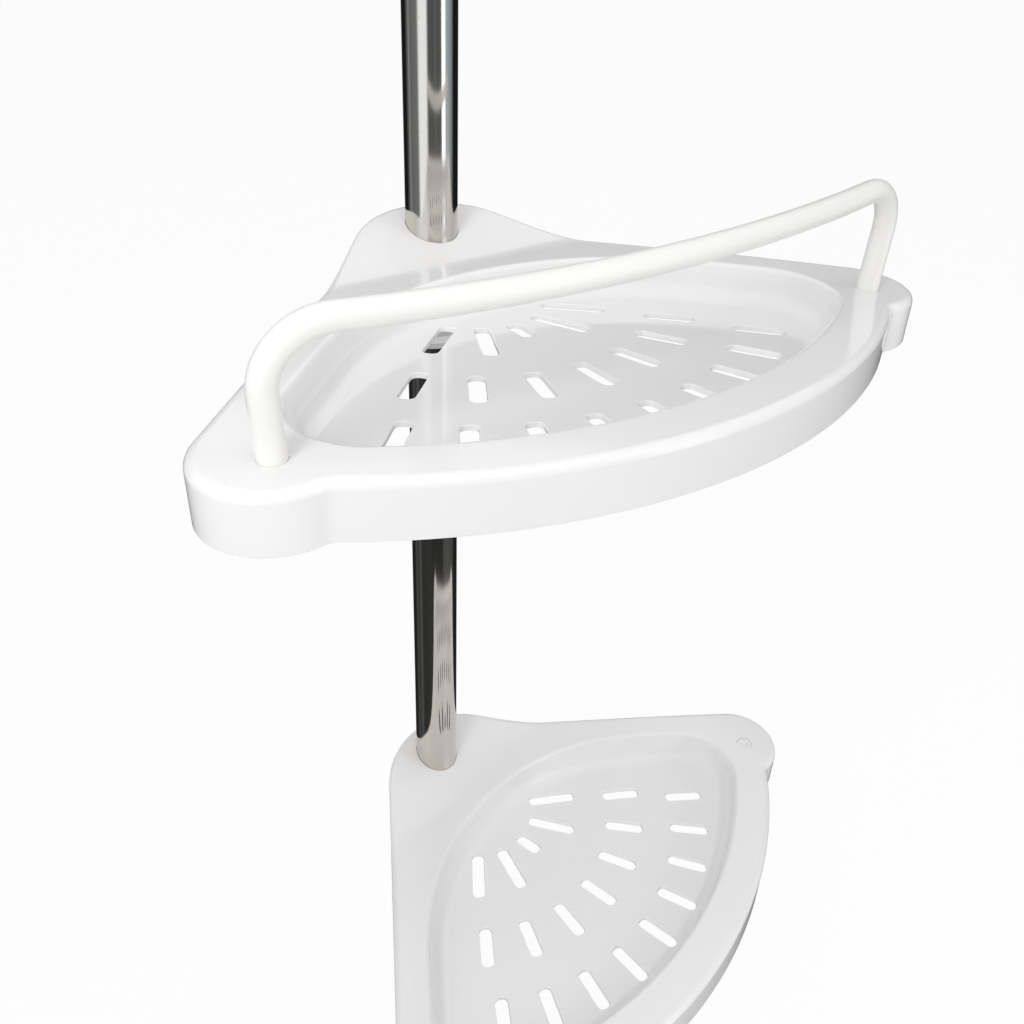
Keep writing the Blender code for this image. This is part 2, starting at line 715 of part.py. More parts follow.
def cup_mesh(tube_radius, tube_wall):
    """An end cup: a wide base, a neck round the tube and a spigot inside it. It is made foot down."""
    foot = PAD_FLOOR + GAP
    seat = foot + CUP_FLOOR
    base_radius = PAD_RADIUS - PAD_WALL - GAP
    neck = tube_radius + GAP + CUP_NECK_WALL
    spigot = tube_radius - tube_wall - GAP
    flare_height = CUP_HEIGHT - CUP_BASE_HEIGHT
    flare = [
        (neck + (base_radius - neck) * (1 - share) ** 2, foot + CUP_BASE_HEIGHT + flare_height * share)
        for share in CUP_FLARE_SHARES
    ]
    return turned(
        [
            (0, foot),
            (base_radius, foot),
            *flare,
            (neck, foot + CUP_HEIGHT - CUP_EDGE),
            (neck - CUP_EDGE, foot + CUP_HEIGHT),
            (tube_radius + GAP, foot + CUP_HEIGHT),
            (tube_radius + GAP, seat),
            (spigot, seat),
            (spigot, seat + CUP_SPIGOT_LENGTH - CUP_EDGE),
            (spigot - CUP_EDGE, seat + CUP_SPIGOT_LENGTH),
            (0, seat + CUP_SPIGOT_LENGTH),
        ]
    )


def upside_down(mesh, top):
    """The same shape turned over, so that its foot comes to a height."""
    mesh.transform(Matrix.Translation((0, 0, top)) @ Matrix.Rotation(math.pi, 4, "X"))
    return mesh


def collar_mesh():
    """The collar at the outer tube's mouth, whose lip guides the inner tube."""
    foot = UPPER_TUBE_TOP + GAP - COLLAR_GRIP
    top = UPPER_TUBE_TOP + GAP + COLLAR_LIP
    outer = TUBE_HOLE + COLLAR_WALL
    lip = INNER_TUBE_RADIUS + GAP
    return turned(
        [
            (TUBE_HOLE, foot),
            (outer - COLLAR_EDGE, foot),
            (outer, foot + COLLAR_EDGE),
            (outer, top - COLLAR_EDGE * 2),
            (outer - COLLAR_EDGE, top - COLLAR_EDGE / 2),
            (outer - COLLAR_EDGE * 2, top),
            (lip, top),
            (lip, UPPER_TUBE_TOP + GAP),
            (TUBE_HOLE, UPPER_TUBE_TOP + GAP),
        ]
    )


def seat_mesh():
    """The spring's lower seat, a plug that rests on the coupling."""
    radius = TUBE_BORE - GAP
    top = SEAT_FOOT + SEAT_HEIGHT
    return turned(
        [
            (0, SEAT_FOOT),
            (radius, SEAT_FOOT),
            (radius, top),
            (SEAT_SPIGOT_RADIUS, top),
            (SEAT_SPIGOT_RADIUS, top + SEAT_SPIGOT_LENGTH),
            (0, top + SEAT_SPIGOT_LENGTH),
        ],
        steps=SMALL_STEPS,
    )


def bush_mesh():
    """The guide bush in the inner tube's foot, which the spring pushes on."""
    flange_top = BUSH_FOOT + BUSH_FLANGE
    spigot = INNER_TUBE_BORE - GAP
    return turned(
        [
            (BUSH_BORE_RADIUS, BUSH_FOOT),
            (TUBE_BORE - GAP, BUSH_FOOT),
            (TUBE_BORE - GAP, flange_top),
            (spigot, flange_top),
            (spigot, flange_top + BUSH_SPIGOT_LENGTH),
            (BUSH_BORE_RADIUS, flange_top + BUSH_SPIGOT_LENGTH),
        ],
        steps=SMALL_STEPS,
    )


def sleeve_half_mesh(start):
    """Half of the taper sleeve that clamps the tray to the tube, with its flange and neck."""
    top = TAPER_TOP_Z - GAP
    flange_top = -BOSS_DEPTH - GAP
    flange_foot = flange_top - SLEEVE_FLANGE_HEIGHT
    return turned(
        [
            (TUBE_HOLE, top),
            (TAPER_TOP_RADIUS - GAP, top),
            (TAPER_BOTTOM_RADIUS - GAP, flange_top),
            (SLEEVE_FLANGE_RADIUS, flange_top),
            (SLEEVE_FLANGE_RADIUS, flange_foot),
            (SLEEVE_NECK_RADIUS, flange_foot),
            (SLEEVE_NECK_RADIUS, flange_foot - SLEEVE_NECK_LENGTH),
            (TUBE_HOLE, flange_foot - SLEEVE_NECK_LENGTH),
        ],
        steps=ROUND_STEPS // 2,
        start=start + SLEEVE_SPLIT / 2,
        angle=math.pi - SLEEVE_SPLIT,
    )


def sleeve_ring_mesh():
    """The ring on the sleeve's neck that keeps its halves together."""
    inner = SLEEVE_NECK_RADIUS + GAP
    foot = -BOSS_DEPTH - SLEEVE_FLANGE_HEIGHT - GAP * 2 - RING_HEIGHT
    chamfer = RING_SECTION / 3
    return turned(
        [
            (inner, foot),
            (inner + RING_SECTION - chamfer, foot),
            (inner + RING_SECTION, foot + chamfer),
            (inner + RING_SECTION, foot + RING_HEIGHT - chamfer),
            (inner + RING_SECTION - chamfer, foot + RING_HEIGHT),
            (inner, foot + RING_HEIGHT),
        ]
    )


def socket_mesh():
    """The socket pressed into an ear from below, which holds the rail's end."""
    flange_top = -SKIRT_DEPTH + SOCKET_FLANGE_HEIGHT - GAP
    foot = flange_top - SOCKET_FLANGE_HEIGHT
    outer = EAR_HOLE_RADIUS - GAP
    inner = RAIL_RADIUS + GAP
    top = RIM_HEIGHT - WALL_THICKNESS - GAP
    return turned(
        [
            (0, foot),
            (SOCKET_FLANGE_RADIUS, foot),
            (SOCKET_FLANGE_RADIUS, flange_top),
            (outer, flange_top),
            (outer, top),
            (inner, top),
            (inner, -RAIL_SINK - GAP),
            (0, -RAIL_SINK - GAP),
        ],
        steps=SMALL_STEPS,
    )


def plug_mesh():
    """The plug that closes an ear hole where no rail is fitted, its head level with the rim."""
    foot = -SKIRT_DEPTH + SOCKET_FLANGE_HEIGHT
    outer = EAR_HOLE_RADIUS - GAP
    shoulder = RIM_HEIGHT - WALL_THICKNESS - GAP
    inner = outer - PLUG_SHANK_WALL
    return turned(
        [
            (0, RIM_HEIGHT + PLUG_DOME),
            (RAIL_RADIUS - PLUG_DOME, RIM_HEIGHT),
            (RAIL_RADIUS, RIM_HEIGHT - PLUG_DOME),
            (RAIL_RADIUS, shoulder),
            (outer, shoulder),
            (outer, foot),
            (inner, foot),
            (inner, RIM_HEIGHT - PLUG_HEAD_HEIGHT),
            (0, RIM_HEIGHT - PLUG_HEAD_HEIGHT),
        ],
        steps=SMALL_STEPS,
    )


def make_pole(materials):
    foot_cup = cup_mesh(TUBE_RADIUS, TUBE_WALL)
    lower = pipe_profile(TUBE_RADIUS, TUBE_WALL, TUBE_FOOT_Z, LOWER_TUBE_TOP)
    upper = pipe_profile(TUBE_RADIUS, TUBE_WALL, UPPER_TUBE_FOOT, UPPER_TUBE_TOP)
    coupling = pipe_profile(TUBE_BORE - GAP, COUPLING_WALL, COUPLING_FOOT, COUPLING_FOOT + COUPLING_LENGTH)
    new_object("foot_pad", pad_mesh(), materials["rubber"])
    new_object("foot_cup", foot_cup, materials["cup"])
    new_object("lower_tube", turned(lower), materials["steel"])
    new_object("tube_coupling", turned(coupling, SMALL_STEPS), materials["zinc"])
    new_object("upper_tube", turned(upper), materials["steel"])
    new_object("guide_collar", collar_mesh(), materials["cup"])
    new_object("spring_seat", seat_mesh(), materials["sleeve"])
    points = spring_points(SEAT_FOOT + SEAT_HEIGHT + GAP, BUSH_FOOT - GAP)
    tube_curve("tension_spring", points, WIRE_RADIUS, materials["zinc"], None, 1)
    print(f"least gap between the spring's turns: {least_turn_gap(points):.5f} m")


def make_head(materials):
    """The sprung head. Its pivot lies on the pole's axis at the inner tube's foot."""
    pivot = new_pivot("head_slide", INNER_TUBE_FOOT)
    head_cup = upside_down(cup_mesh(INNER_TUBE_RADIUS, INNER_TUBE_WALL), HEAD_TOP)
    inner = pipe_profile(INNER_TUBE_RADIUS, INNER_TUBE_WALL, INNER_TUBE_FOOT, INNER_TUBE_TOP)
    pieces = [
        new_object("inner_bush", bush_mesh(), materials["sleeve"], pivot),
        new_object("inner_tube", turned(inner), materials["steel"], pivot),
        new_object("head_cup", head_cup, materials["cup"], pivot),
        new_object("head_pad", upside_down(pad_mesh(), HEAD_TOP), materials["rubber"], pivot),
    ]
    for piece in pieces:
        piece.location.z = -INNER_TUBE_FOOT


def make_sleeve(prefix, height, materials):
    """A taper sleeve that slides on the pole at the height of its tray."""
    pivot = new_pivot(prefix + "_slide", height)
    front, back = sleeve_half_mesh(math.pi), sleeve_half_mesh(0.0)
    new_object(prefix + "_sleeve_front", front, materials["sleeve"], pivot)
    new_object(prefix + "_sleeve_back", back, materials["sleeve"], pivot)
    new_object(prefix + "_sleeve_ring", sleeve_ring_mesh(), materials["cup"], pivot)
    return pivot


def place_in_ears(prefix, names, make_mesh, material, pivot):
    for side, ending in ((-1, names[0]), (1, names[1])):
        obj = new_object(prefix + ending, make_mesh(), material, pivot)
        x, y = ear_hole(side)
        obj.location = (x, y, 0)


def make_shelves(materials):
    tray = tray_mesh()
    lower_slide = make_sleeve("lower", LOWER_TRAY_Z, materials)
    upper_slide = make_sleeve("upper", UPPER_TRAY_Z, materials)
    lower = new_pivot("lower_swivel", 0, LOWER_SWIVEL, lower_slide)
    upper = new_pivot("upper_swivel", 0, UPPER_SWIVEL, upper_slide)
    new_object("lower_tray", tray, materials["tray"], lower)
    new_object("upper_tray", tray, materials["tray"], upper)
    tube_curve("upper_rail", rail_points(), RAIL_RADIUS, materials["rail"], upper, 3)
    place_in_ears("upper", ("_socket_left", "_socket_right"), socket_mesh, materials["cup"], upper)
    place_in_ears("lower", ("_plug_left", "_plug_right"), plug_mesh, materials["cup"], lower)


def main():
    clear_scene()
    materials = make_materials()
    make_pole(materials)
    make_head(materials)
    make_shelves(materials)


main()
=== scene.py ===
"""Corner shower shelf on a tension pole: fine pieces, finishes, studio and camera."""

import math

import bmesh
import bpy
import numpy as np
from mathutils import Matrix, Vector


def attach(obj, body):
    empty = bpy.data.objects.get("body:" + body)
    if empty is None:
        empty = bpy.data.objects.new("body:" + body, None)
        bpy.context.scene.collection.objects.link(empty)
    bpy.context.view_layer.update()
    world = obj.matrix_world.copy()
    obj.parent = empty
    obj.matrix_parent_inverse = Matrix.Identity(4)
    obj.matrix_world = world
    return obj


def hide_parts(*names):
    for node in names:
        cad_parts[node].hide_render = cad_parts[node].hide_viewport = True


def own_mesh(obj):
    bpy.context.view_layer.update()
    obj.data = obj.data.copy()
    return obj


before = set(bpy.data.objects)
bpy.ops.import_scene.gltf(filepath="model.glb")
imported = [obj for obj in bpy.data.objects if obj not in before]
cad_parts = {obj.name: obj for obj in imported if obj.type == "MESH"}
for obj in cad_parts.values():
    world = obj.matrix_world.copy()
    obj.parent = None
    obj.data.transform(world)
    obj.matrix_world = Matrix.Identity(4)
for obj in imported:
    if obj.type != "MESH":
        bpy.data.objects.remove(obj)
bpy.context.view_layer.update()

# Clearances between pieces, and how far cutters reach past what they cut
GAP = 0.0003
FIT = 0.00008
OVERRUN = 0.002
MERGE = 0.00001
SEAM = 0.00002

# Steps round a turned piece, and the angles from which an edge is rounded or drawn sharp
TUBE_STEPS = 160
ROUND_STEPS = 96
BOSS_STEPS = 72
HOLE_STEPS = 48
ROUND_FROM = math.radians(30)
SHARP_FROM = math.radians(35)
ROD_SHARP_FROM = math.radians(50)

# Roundings of the small pieces' edges
TUBE_ROUNDING = 0.00025
CUP_ROUNDING = 0.0004
SMALL_ROUNDING = 0.0003
RING_ROUNDING = 0.0007
PLUG_ROUNDING = 0.00015

# Tubes of the pole
TUBE_RADIUS = 0.0125
TUBE_WALL = 0.0012
TUBE_HOLE = TUBE_RADIUS + GAP
INNER_TUBE_RADIUS = 0.0102
INNER_TUBE_WALL = 0.0010
TUBE_FOOT_Z = 0.0121
LOWER_TUBE_TOP = 0.5478
UPPER_TUBE_FOOT = 0.5481
UPPER_TUBE_TOP = 0.7633
INNER_TUBE_FOOT = 0.6898
INNER_TUBE_TOP = 0.8798
HEAD_TOP = 0.8919

# Pads and cups at the pole's ends
PAD_RADIUS = 0.027
PAD_EDGE = 0.002
PAD_HEIGHT = 0.009
PAD_WALL = 0.0025
PAD_FLOOR = 0.004
PAD_GROOVES = (0.0075, 0.0125, 0.0175)
GROOVE_WIDTH = 0.0018
GROOVE_SLANT = 0.0004
GROOVE_DEPTH = 0.0008
CUP_BASE_HEIGHT = 0.007
CUP_FLOOR = 0.0075
CUP_HEIGHT = 0.030
CUP_NECK_WALL = 0.0028
CUP_SPIGOT_LENGTH = 0.026
CUP_EDGE = 0.001

# Guide collar and spring
COLLAR_WALL = 0.003
COLLAR_GRIP = 0.0125
COLLAR_LIP = 0.008
COLLAR_EDGE = 0.0015
WIRE_RADIUS = 0.0011
COIL_RADIUS = 0.0082
SPRING_TURNS = 14
POINTS_PER_TURN = 28
SPRING_FOOT = 0.6004
SPRING_TOP = 0.6832

# Tray
LOWER_TRAY_Z = 0.200
UPPER_TRAY_Z = 0.5435
LOWER_SWIVEL = math.radians(-90)
UPPER_SWIVEL = math.radians(-106.5)
FLOOR_THICKNESS = 0.0025
FLOOR_TOP = FLOOR_THICKNESS / 2
RIM_HEIGHT = 0.0162
REAR_RIM_RISE = 0.0021
RIM_SLOPE_START = 0.070
RIM_SLOPE_END = 0.160
SKIRT_DEPTH = 0.006
HUB_RISE = 0.0157
HUB_BACK = -0.024
HUB_FOOT = 0.033
EAR_RADIUS = 0.0265
EAR_REACH = 0.198
HUB_CORNER_RADIUS = 0.0541
HUB_CORNER_X = 0.0344
FRONT_CENTRE_X = -0.0387
FRONT_RADIUS = 0.2445
NOTCH_RADIUS = 0.007
RECESS_FRONT_RADIUS = 0.225
RECESS_REAR_X = 0.0408
RECESS_BORDER = 0.0118
RECESS_EAR_FILLET = 0.032
WALL_THICKNESS = 0.0025
SKIRT_DRAFT = 0.0004
SKIRT_EDGE = 0.0006
RIM_FILLET = 0.0035
RECESS_FILLET = 0.0023
FLOOR_FILLET = 0.0095
RECESS_DRAFT = math.radians(9)
SUPPORT = 0.0003

# Points on each stretch of half an outline: front, notch, ear, wall, wall beside the hub, hub
STRETCH_COUNTS = (56, 8, 26, 16, 24, 22)
HUB_STATION_SHARE = 0.41

# Drain slots: each row's radius, its step and its slots' length, and the steps at which they lie
SLOT_ROWS = (
    (0.0479, math.radians(24.15), 0.0287, (-2, -1, 1, 2)),
    (0.0925, math.radians(15.4), 0.0229, range(-3, 4)),
    (0.1326, math.radians(10.9), 0.0231, range(-4, 5)),
)
SHORT_SLOT_LENGTH = 0.0155
SLOT_CENTRE_X = 0.0338
SLOT_WIDTH = 0.007
SLOT_CORNER = 0.0029
SLOT_CORNER_POINTS = 8
SLOT_EDGE = 0.0005

# Hub boss, clamp sleeve and its ring
BOSS_RADIUS = 0.0188
BOSS_DEPTH = 0.018
TAPER_TOP_Z = 0.012
TAPER_TOP_RADIUS = 0.0141
TAPER_BOTTOM_RADIUS = 0.0157
SLEEVE_FLANGE_RADIUS = 0.0188
SLEEVE_FLANGE_HEIGHT = 0.0037
SLEEVE_NECK_RADIUS = 0.0150
SLEEVE_NECK_LENGTH = 0.008
SLEEVE_SPLIT = math.radians(3)
RING_SECTION = 0.0022
RING_HEIGHT = 0.004
RIB_THICKNESS = 0.002
RIB_REACH = 0.0705
RIB_STATIONS = 15

# Guard rail and ear holes
RAIL_RADIUS = 0.0049
RAIL_HEIGHT = 0.0644
RAIL_BEND = 0.021
RAIL_BULGE = 0.0126
RAIL_SAG = 0.0045
RAIL_LEAN_FORWARD = math.radians(3.6)
RAIL_LEAN_OUT = math.radians(2.9)
RAIL_TILT = math.radians(1.0)
RAIL_SINK = 0.003
RAIL_POINTS = 25
RAIL_ROUNDNESS = 10
WIRE_ROUNDNESS = 4
EAR_HOLE_REACH = 0.2037
EAR_HOLE_OFFSET = -0.0022
SOCKET_WALL = 0.002
SOCKET_FLANGE_RADIUS = 0.0095
SOCKET_FLANGE_HEIGHT = 0.002
EAR_HOLE_RADIUS = RAIL_RADIUS + SOCKET_WALL + GAP + GAP
EAR_BOSS_WALL = 0.0025
PLUG_DOME = 0.0004
PLUG_HEAD_HEIGHT = 0.003
PLUG_SHANK_WALL = 0.0015
PLUG_DIMPLE_RADIUS = 0.0026
PLUG_DIMPLE_DEPTH = 0.0005

DIAGONAL = math.radians(45)
WALL_NORMAL = math.radians(135)

# The arc at the recess's rear, which runs round the hub from wall to wall
RECESS_REAR_RADIUS = (RECESS_REAR_X * math.cos(DIAGONAL) + RECESS_BORDER) / (1 - math.cos(DIAGONAL))
RECESS_REAR_STATION = math.radians(165)

# From the recess's edge in to its flat floor: both fillets and the drafted wall between them
RECESS_ROUNDS = RECESS_FILLET + FLOOR_FILLET
WALL_RISE = RIM_HEIGHT - FLOOR_TOP - RECESS_ROUNDS * (1 - math.sin(RECESS_DRAFT))
RECESS_FOOT = RECESS_ROUNDS * math.cos(RECESS_DRAFT) + WALL_RISE * math.tan(RECESS_DRAFT)


def piece(name, mesh, material, body, slot, node):
    """A finished piece that rides on a body and stands for one of the part's nodes."""
    mesh.name = name
    mesh.materials.clear()
    mesh.materials.append(material)
    obj = bpy.data.objects.new(name, mesh)
    bpy.context.scene.collection.objects.link(obj)
    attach(obj, body)
    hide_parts(node)
    return obj


def crisp_piece(*facts):
    """A piece whose flat faces stay flat beside their rounded edges."""
    obj = piece(*facts)
    weighted = obj.modifiers.new("weighted_normals", "WEIGHTED_NORMAL")
    weighted.keep_sharp = True
    return obj


def mesh_of(shape, sharp=SHARP_FROM):
    """A mesh of the shape, smooth but for its sharp edges. The shape is used up."""
    bmesh.ops.recalc_face_normals(shape, faces=shape.faces)
    mesh = bpy.data.meshes.new("mesh")
    shape.to_mesh(mesh)
    shape.free()
    mesh.shade_smooth()
    mesh.set_sharp_from_angle(angle=sharp)
    return mesh


def rounded(shape, width):
    """Round every edge at which two faces meet sharply."""
    bmesh.ops.recalc_face_normals(shape, faces=shape.faces)
    edges = [edge for edge in shape.edges if edge.calc_face_angle(0) > ROUND_FROM]
    bmesh.ops.bevel(
        shape,
        geom=edges,
        offset=width,
        offset_type="OFFSET",
        affect="EDGES",
        segments=3,
        profile=0.5,
        clamp_overlap=True,
        material=-1,
    )


def turned(profile, steps=ROUND_STEPS, start=0.0, angle=math.tau, edge=0.0):
    """Spin (radius, height) points about the pole's axis, then round the edges."""
    shape = bmesh.new()
    points = [shape.verts.new((radius, 0, height)) for radius, height in profile]
    edges = [shape.edges.new(pair) for pair in zip(points, points[1:])]
    closed = all(radius > 0 for radius, _ in profile)
    if closed:
        edges.append(shape.edges.new((points[-1], points[0])))
    geometry = points + edges
    if angle < math.tau:
        geometry.append(shape.faces.new(points))
    bmesh.ops.spin(
        shape,
        geom=geometry,
        cent=(0, 0, 0),
        axis=(0, 0, 1),
        angle=angle,
        steps=steps,
        use_merge=angle >= math.tau,
    )
    bmesh.ops.remove_doubles(shape, verts=shape.verts, dist=MERGE)
    bmesh.ops.rotate(shape, verts=shape.verts, cent=(0, 0, 0), matrix=Matrix.Rotation(start, 3, "Z"))
    if edge:
        rounded(shape, edge)
    return mesh_of(shape)


def arc(centre, radius, start, end, count):
    """Points along an arc, without its end."""
    angles = np.linspace(start, end, count, endpoint=False)
    return [on_circle(centre, radius, angle) for angle in angles]


def run(start, end, count):
    """Points along a straight line, without its end."""
    shares = np.linspace(0, 1, count, endpoint=False)
    return [midway(start, end, share) for share in shares]


def mirrored(half):
    """A closed outline from its right half, whose two ends lie on the middle line."""
    return half + [(x, -y) for x, y in reversed(half[1:-1])]


def wall_point(along, out):
    """The point at a distance along the right wall's direction, and out from it."""
    cosine = math.cos(DIAGONAL)
    return ((along - out) * cosine, (along + out) * cosine)


def meeting_circle(first, first_distance, second, second_distance):
    """The centre of a circle that touches two others, at these distances from their centres."""
    gap = math.dist(first, second)
    along = (first_distance**2 - second_distance**2 + gap**2) / (2 * gap)
    across = math.sqrt(first_distance**2 - along**2)
    direction = ((second[0] - first[0]) / gap, (second[1] - first[1]) / gap)
    x = first[0] + along * direction[0] + across * direction[1]
    y = first[1] + along * direction[1] - across * direction[0]
    return (x, y)


def on_circle(centre, radius, angle):
    return (centre[0] + radius * math.cos(angle), centre[1] + radius * math.sin(angle))


def midway(start, end, share):
    return (start[0] + (end[0] - start[0]) * share, start[1] + (end[1] - start[1]) * share)


def heading(start, end):
    return math.atan2(end[1] - start[1], end[0] - start[0])


def outer_outline(inset):
    """The tray's outer edge, drawn in by a distance."""
    front, notch, ear, wall, hub_wall, hub = STRETCH_COUNTS
    arc_centre = (FRONT_CENTRE_X, 0)
    ear_centre = wall_point(EAR_REACH, 0)
    notch_centre = meeting_circle(
        arc_centre, FRONT_RADIUS + NOTCH_RADIUS, ear_centre, EAR_RADIUS + NOTCH_RADIUS
    )
    front_end = heading(arc_centre, notch_centre)
    notch_start = front_end + math.pi
    notch_end = heading(notch_centre, ear_centre)
    ear_start = heading(ear_centre, notch_centre)
    hub_centre = (HUB_CORNER_X, 0)
    apart = math.dist(hub_centre, ear_centre)
    wall_normal = heading(hub_centre, ear_centre) + math.acos((HUB_CORNER_RADIUS - EAR_RADIUS) / apart)
    half = arc(arc_centre, FRONT_RADIUS - inset, 0, front_end, front)
    half += arc(notch_centre, NOTCH_RADIUS + inset, notch_start, notch_end, notch)
    half += arc(ear_centre, EAR_RADIUS - inset, ear_start, wall_normal, ear)
    wall_start = on_circle(ear_centre, EAR_RADIUS - inset, wall_normal)
    wall_end = on_circle(hub_centre, HUB_CORNER_RADIUS - inset, wall_normal)
    station = midway(wall_start, wall_end, HUB_STATION_SHARE)
    half += run(wall_start, station, wall)
    half += run(station, wall_end, hub_wall)
    half += arc(hub_centre, HUB_CORNER_RADIUS - inset, wall_normal, math.pi, hub)
    return mirrored(half + [(HUB_CORNER_X - HUB_CORNER_RADIUS + inset, 0)])


def recess_centres():
    """The centres of the recess's corner beside an ear and of the arc at its rear."""
    reach = RECESS_FRONT_RADIUS - RECESS_EAR_FILLET
    out = RECESS_BORDER - RECESS_EAR_FILLET
    lean = math.asin((FRONT_CENTRE_X * math.cos(DIAGONAL) + out) / reach)
    angle = DIAGONAL + lean
    ear = (FRONT_CENTRE_X + reach * math.cos(angle), reach * math.sin(angle))
    return ear, (RECESS_REAR_X + RECESS_REAR_RADIUS, 0)


def recess_outline(inset):
    """The recess's upper edge, drawn in by a distance, point for point like outer_outline."""
    front, notch, ear, wall, hub_wall, hub = STRETCH_COUNTS
    ear_centre, rear_centre = recess_centres()
    arc_centre = (FRONT_CENTRE_X, 0)
    front_end = heading(arc_centre, ear_centre)
    ear_fillet = RECESS_EAR_FILLET - inset
    rear_radius = RECESS_REAR_RADIUS - inset
    ear_along = (ear_centre[0] + ear_centre[1]) * math.cos(DIAGONAL)
    rear_along = rear_centre[0] * math.cos(DIAGONAL)
    out = RECESS_BORDER - inset
    half = arc(arc_centre, RECESS_FRONT_RADIUS - inset, 0, front_end, front)
    half += arc(ear_centre, ear_fillet, front_end, WALL_NORMAL, notch + ear)
    half += run(wall_point(ear_along, out), wall_point(rear_along, out), wall)
    half += arc(rear_centre, rear_radius, WALL_NORMAL, RECESS_REAR_STATION, hub_wall)
    half += arc(rear_centre, rear_radius, RECESS_REAR_STATION, math.pi, hub)
    return mirrored(half + [(RECESS_REAR_X + inset, 0)])


def smooth_fall(x, start, end):
    """From 1 at start down to 0 at end, level at both."""
    t = min(max((x - start) / (end - start), 0.0), 1.0)
    return 1.0 - t * t * (3.0 - 2.0 * t)


def deck_height(x):
    """The deck's height, which climbs from the front rim to the rear one and on to the hub."""
    rim = RIM_HEIGHT + REAR_RIM_RISE * smooth_fall(x, RIM_SLOPE_START, RIM_SLOPE_END)
    return rim + HUB_RISE * smooth_fall(x, HUB_BACK, HUB_FOOT)


def level(outline, height):
    return [(x, y, height) for x, y in outline]


def along_deck(outline, drop):
    """An outline laid a drop below the deck."""
    return [(x, y, deck_height(x) - drop) for x, y in outline]


def between(first, second, share):
    return [midway(a, b, share) for a, b in zip(first, second)]


DECK_SHARES = [0.0, 0.012] + [i / 24 for i in range(1, 24)] + [0.988, 1.0]
FILLET_TURNS = [math.radians(15 * i) for i in range(1, 7)]
WALL_TURN = math.radians(90) - RECESS_DRAFT
FLOOR_TURNS = [WALL_TURN * i / 8 for i in range(9)]


def floor_fillet(turn, radius):
    """The loop on the floor's fillet, or on the pan's outside round the same centre, at a turn."""
    height = FLOOR_TOP + FLOOR_FILLET - radius * math.cos(turn)
    return level(recess_outline(RECESS_FOOT - radius * math.sin(turn)), height)


def recess_loops():
    """From the floor's flat middle, up its fillet and the recess's wall, over the top fillet."""
    loops = [level(recess_outline(RECESS_FOOT + SUPPORT), FLOOR_TOP)]
    loops += [floor_fillet(turn, FLOOR_FILLET) for turn in FLOOR_TURNS]
    for turn in reversed(FLOOR_TURNS):
        inset = RECESS_FILLET * math.sin(turn)
        loops.append(along_deck(recess_outline(inset), RECESS_FILLET * (1 - math.cos(turn))))
    return loops


def rim_loops():
    """Across the deck, over the rim's fillet and down the skirt to its lower edge."""
    rim_edge = outer_outline(RIM_FILLET)
    recess_edge = recess_outline(0)
    loops = [along_deck(between(recess_edge, rim_edge, share), 0) for share in DECK_SHARES[1:]]
    for turn in FILLET_TURNS:
        inset = RIM_FILLET * (1 - math.sin(turn))
        loops.append(along_deck(outer_outline(inset), RIM_FILLET * (1 - math.cos(turn))))
    loops += [
        level(outer_outline(SKIRT_DRAFT), SKIRT_EDGE - SKIRT_DEPTH),
        level(outer_outline(SKIRT_DRAFT + SKIRT_EDGE * 0.3), SKIRT_EDGE * 0.3 - SKIRT_DEPTH),
        level(outer_outline(SKIRT_DRAFT + SKIRT_EDGE), -SKIRT_DEPTH),
        level(outer_outline(SKIRT_DRAFT + WALL_THICKNESS - SKIRT_EDGE * 0.5), -SKIRT_DEPTH),
        level(outer_outline(SKIRT_DRAFT + WALL_THICKNESS), SKIRT_EDGE * 0.5 - SKIRT_DEPTH),
    ]
    return loops


def shell_loops():
    """Up inside the skirt, under the deck and down the pan's outside to the floor's underside."""
    shell_edge = outer_outline(WALL_THICKNESS + SKIRT_EDGE)
    pan_edge = recess_outline(RECESS_FILLET - WALL_THICKNESS)
    loops = [along_deck(shell_edge, RIM_FILLET)]
    shares = [0.04] + [i / 12 for i in range(1, 12)] + [0.96]
    loops += [along_deck(between(shell_edge, pan_edge, share), WALL_THICKNESS) for share in shares]
    loops.append(along_deck(pan_edge, RIM_FILLET))
    return loops + [floor_fillet(turn, FLOOR_FILLET + WALL_THICKNESS) for turn in reversed(FLOOR_TURNS)]


def slot_places():
    """(radius, angle, length) of every drain slot, about the slots' centre."""
    places = [(radius, step * i, length) for radius, step, length, row in SLOT_ROWS for i in row]
    radius, _, length, _ = SLOT_ROWS[0]
    places.append((radius - (length - SHORT_SLOT_LENGTH) / 2, 0.0, SHORT_SLOT_LENGTH))
    return places


def slot_outline(place, grow):
    """A slot with rounded corners that lies along its radius, grown all round."""
    radius, angle, length = place
    points = []
    for quarter, (along, across) in enumerate(((1, 1), (-1, 1), (-1, -1), (1, -1))):
        centre = (along * (length / 2 - SLOT_CORNER), across * (SLOT_WIDTH / 2 - SLOT_CORNER))
        start = quarter * math.pi / 2
        for turn in np.linspace(start, start + math.pi / 2, SLOT_CORNER_POINTS):
            points.append(on_circle(centre, SLOT_CORNER + grow, turn))
    cosine, sine = math.cos(angle), math.sin(angle)
    return [
        (SLOT_CENTRE_X + (radius + u) * cosine - v * sine, (radius + u) * sine + v * cosine)
        for u, v in points
    ]


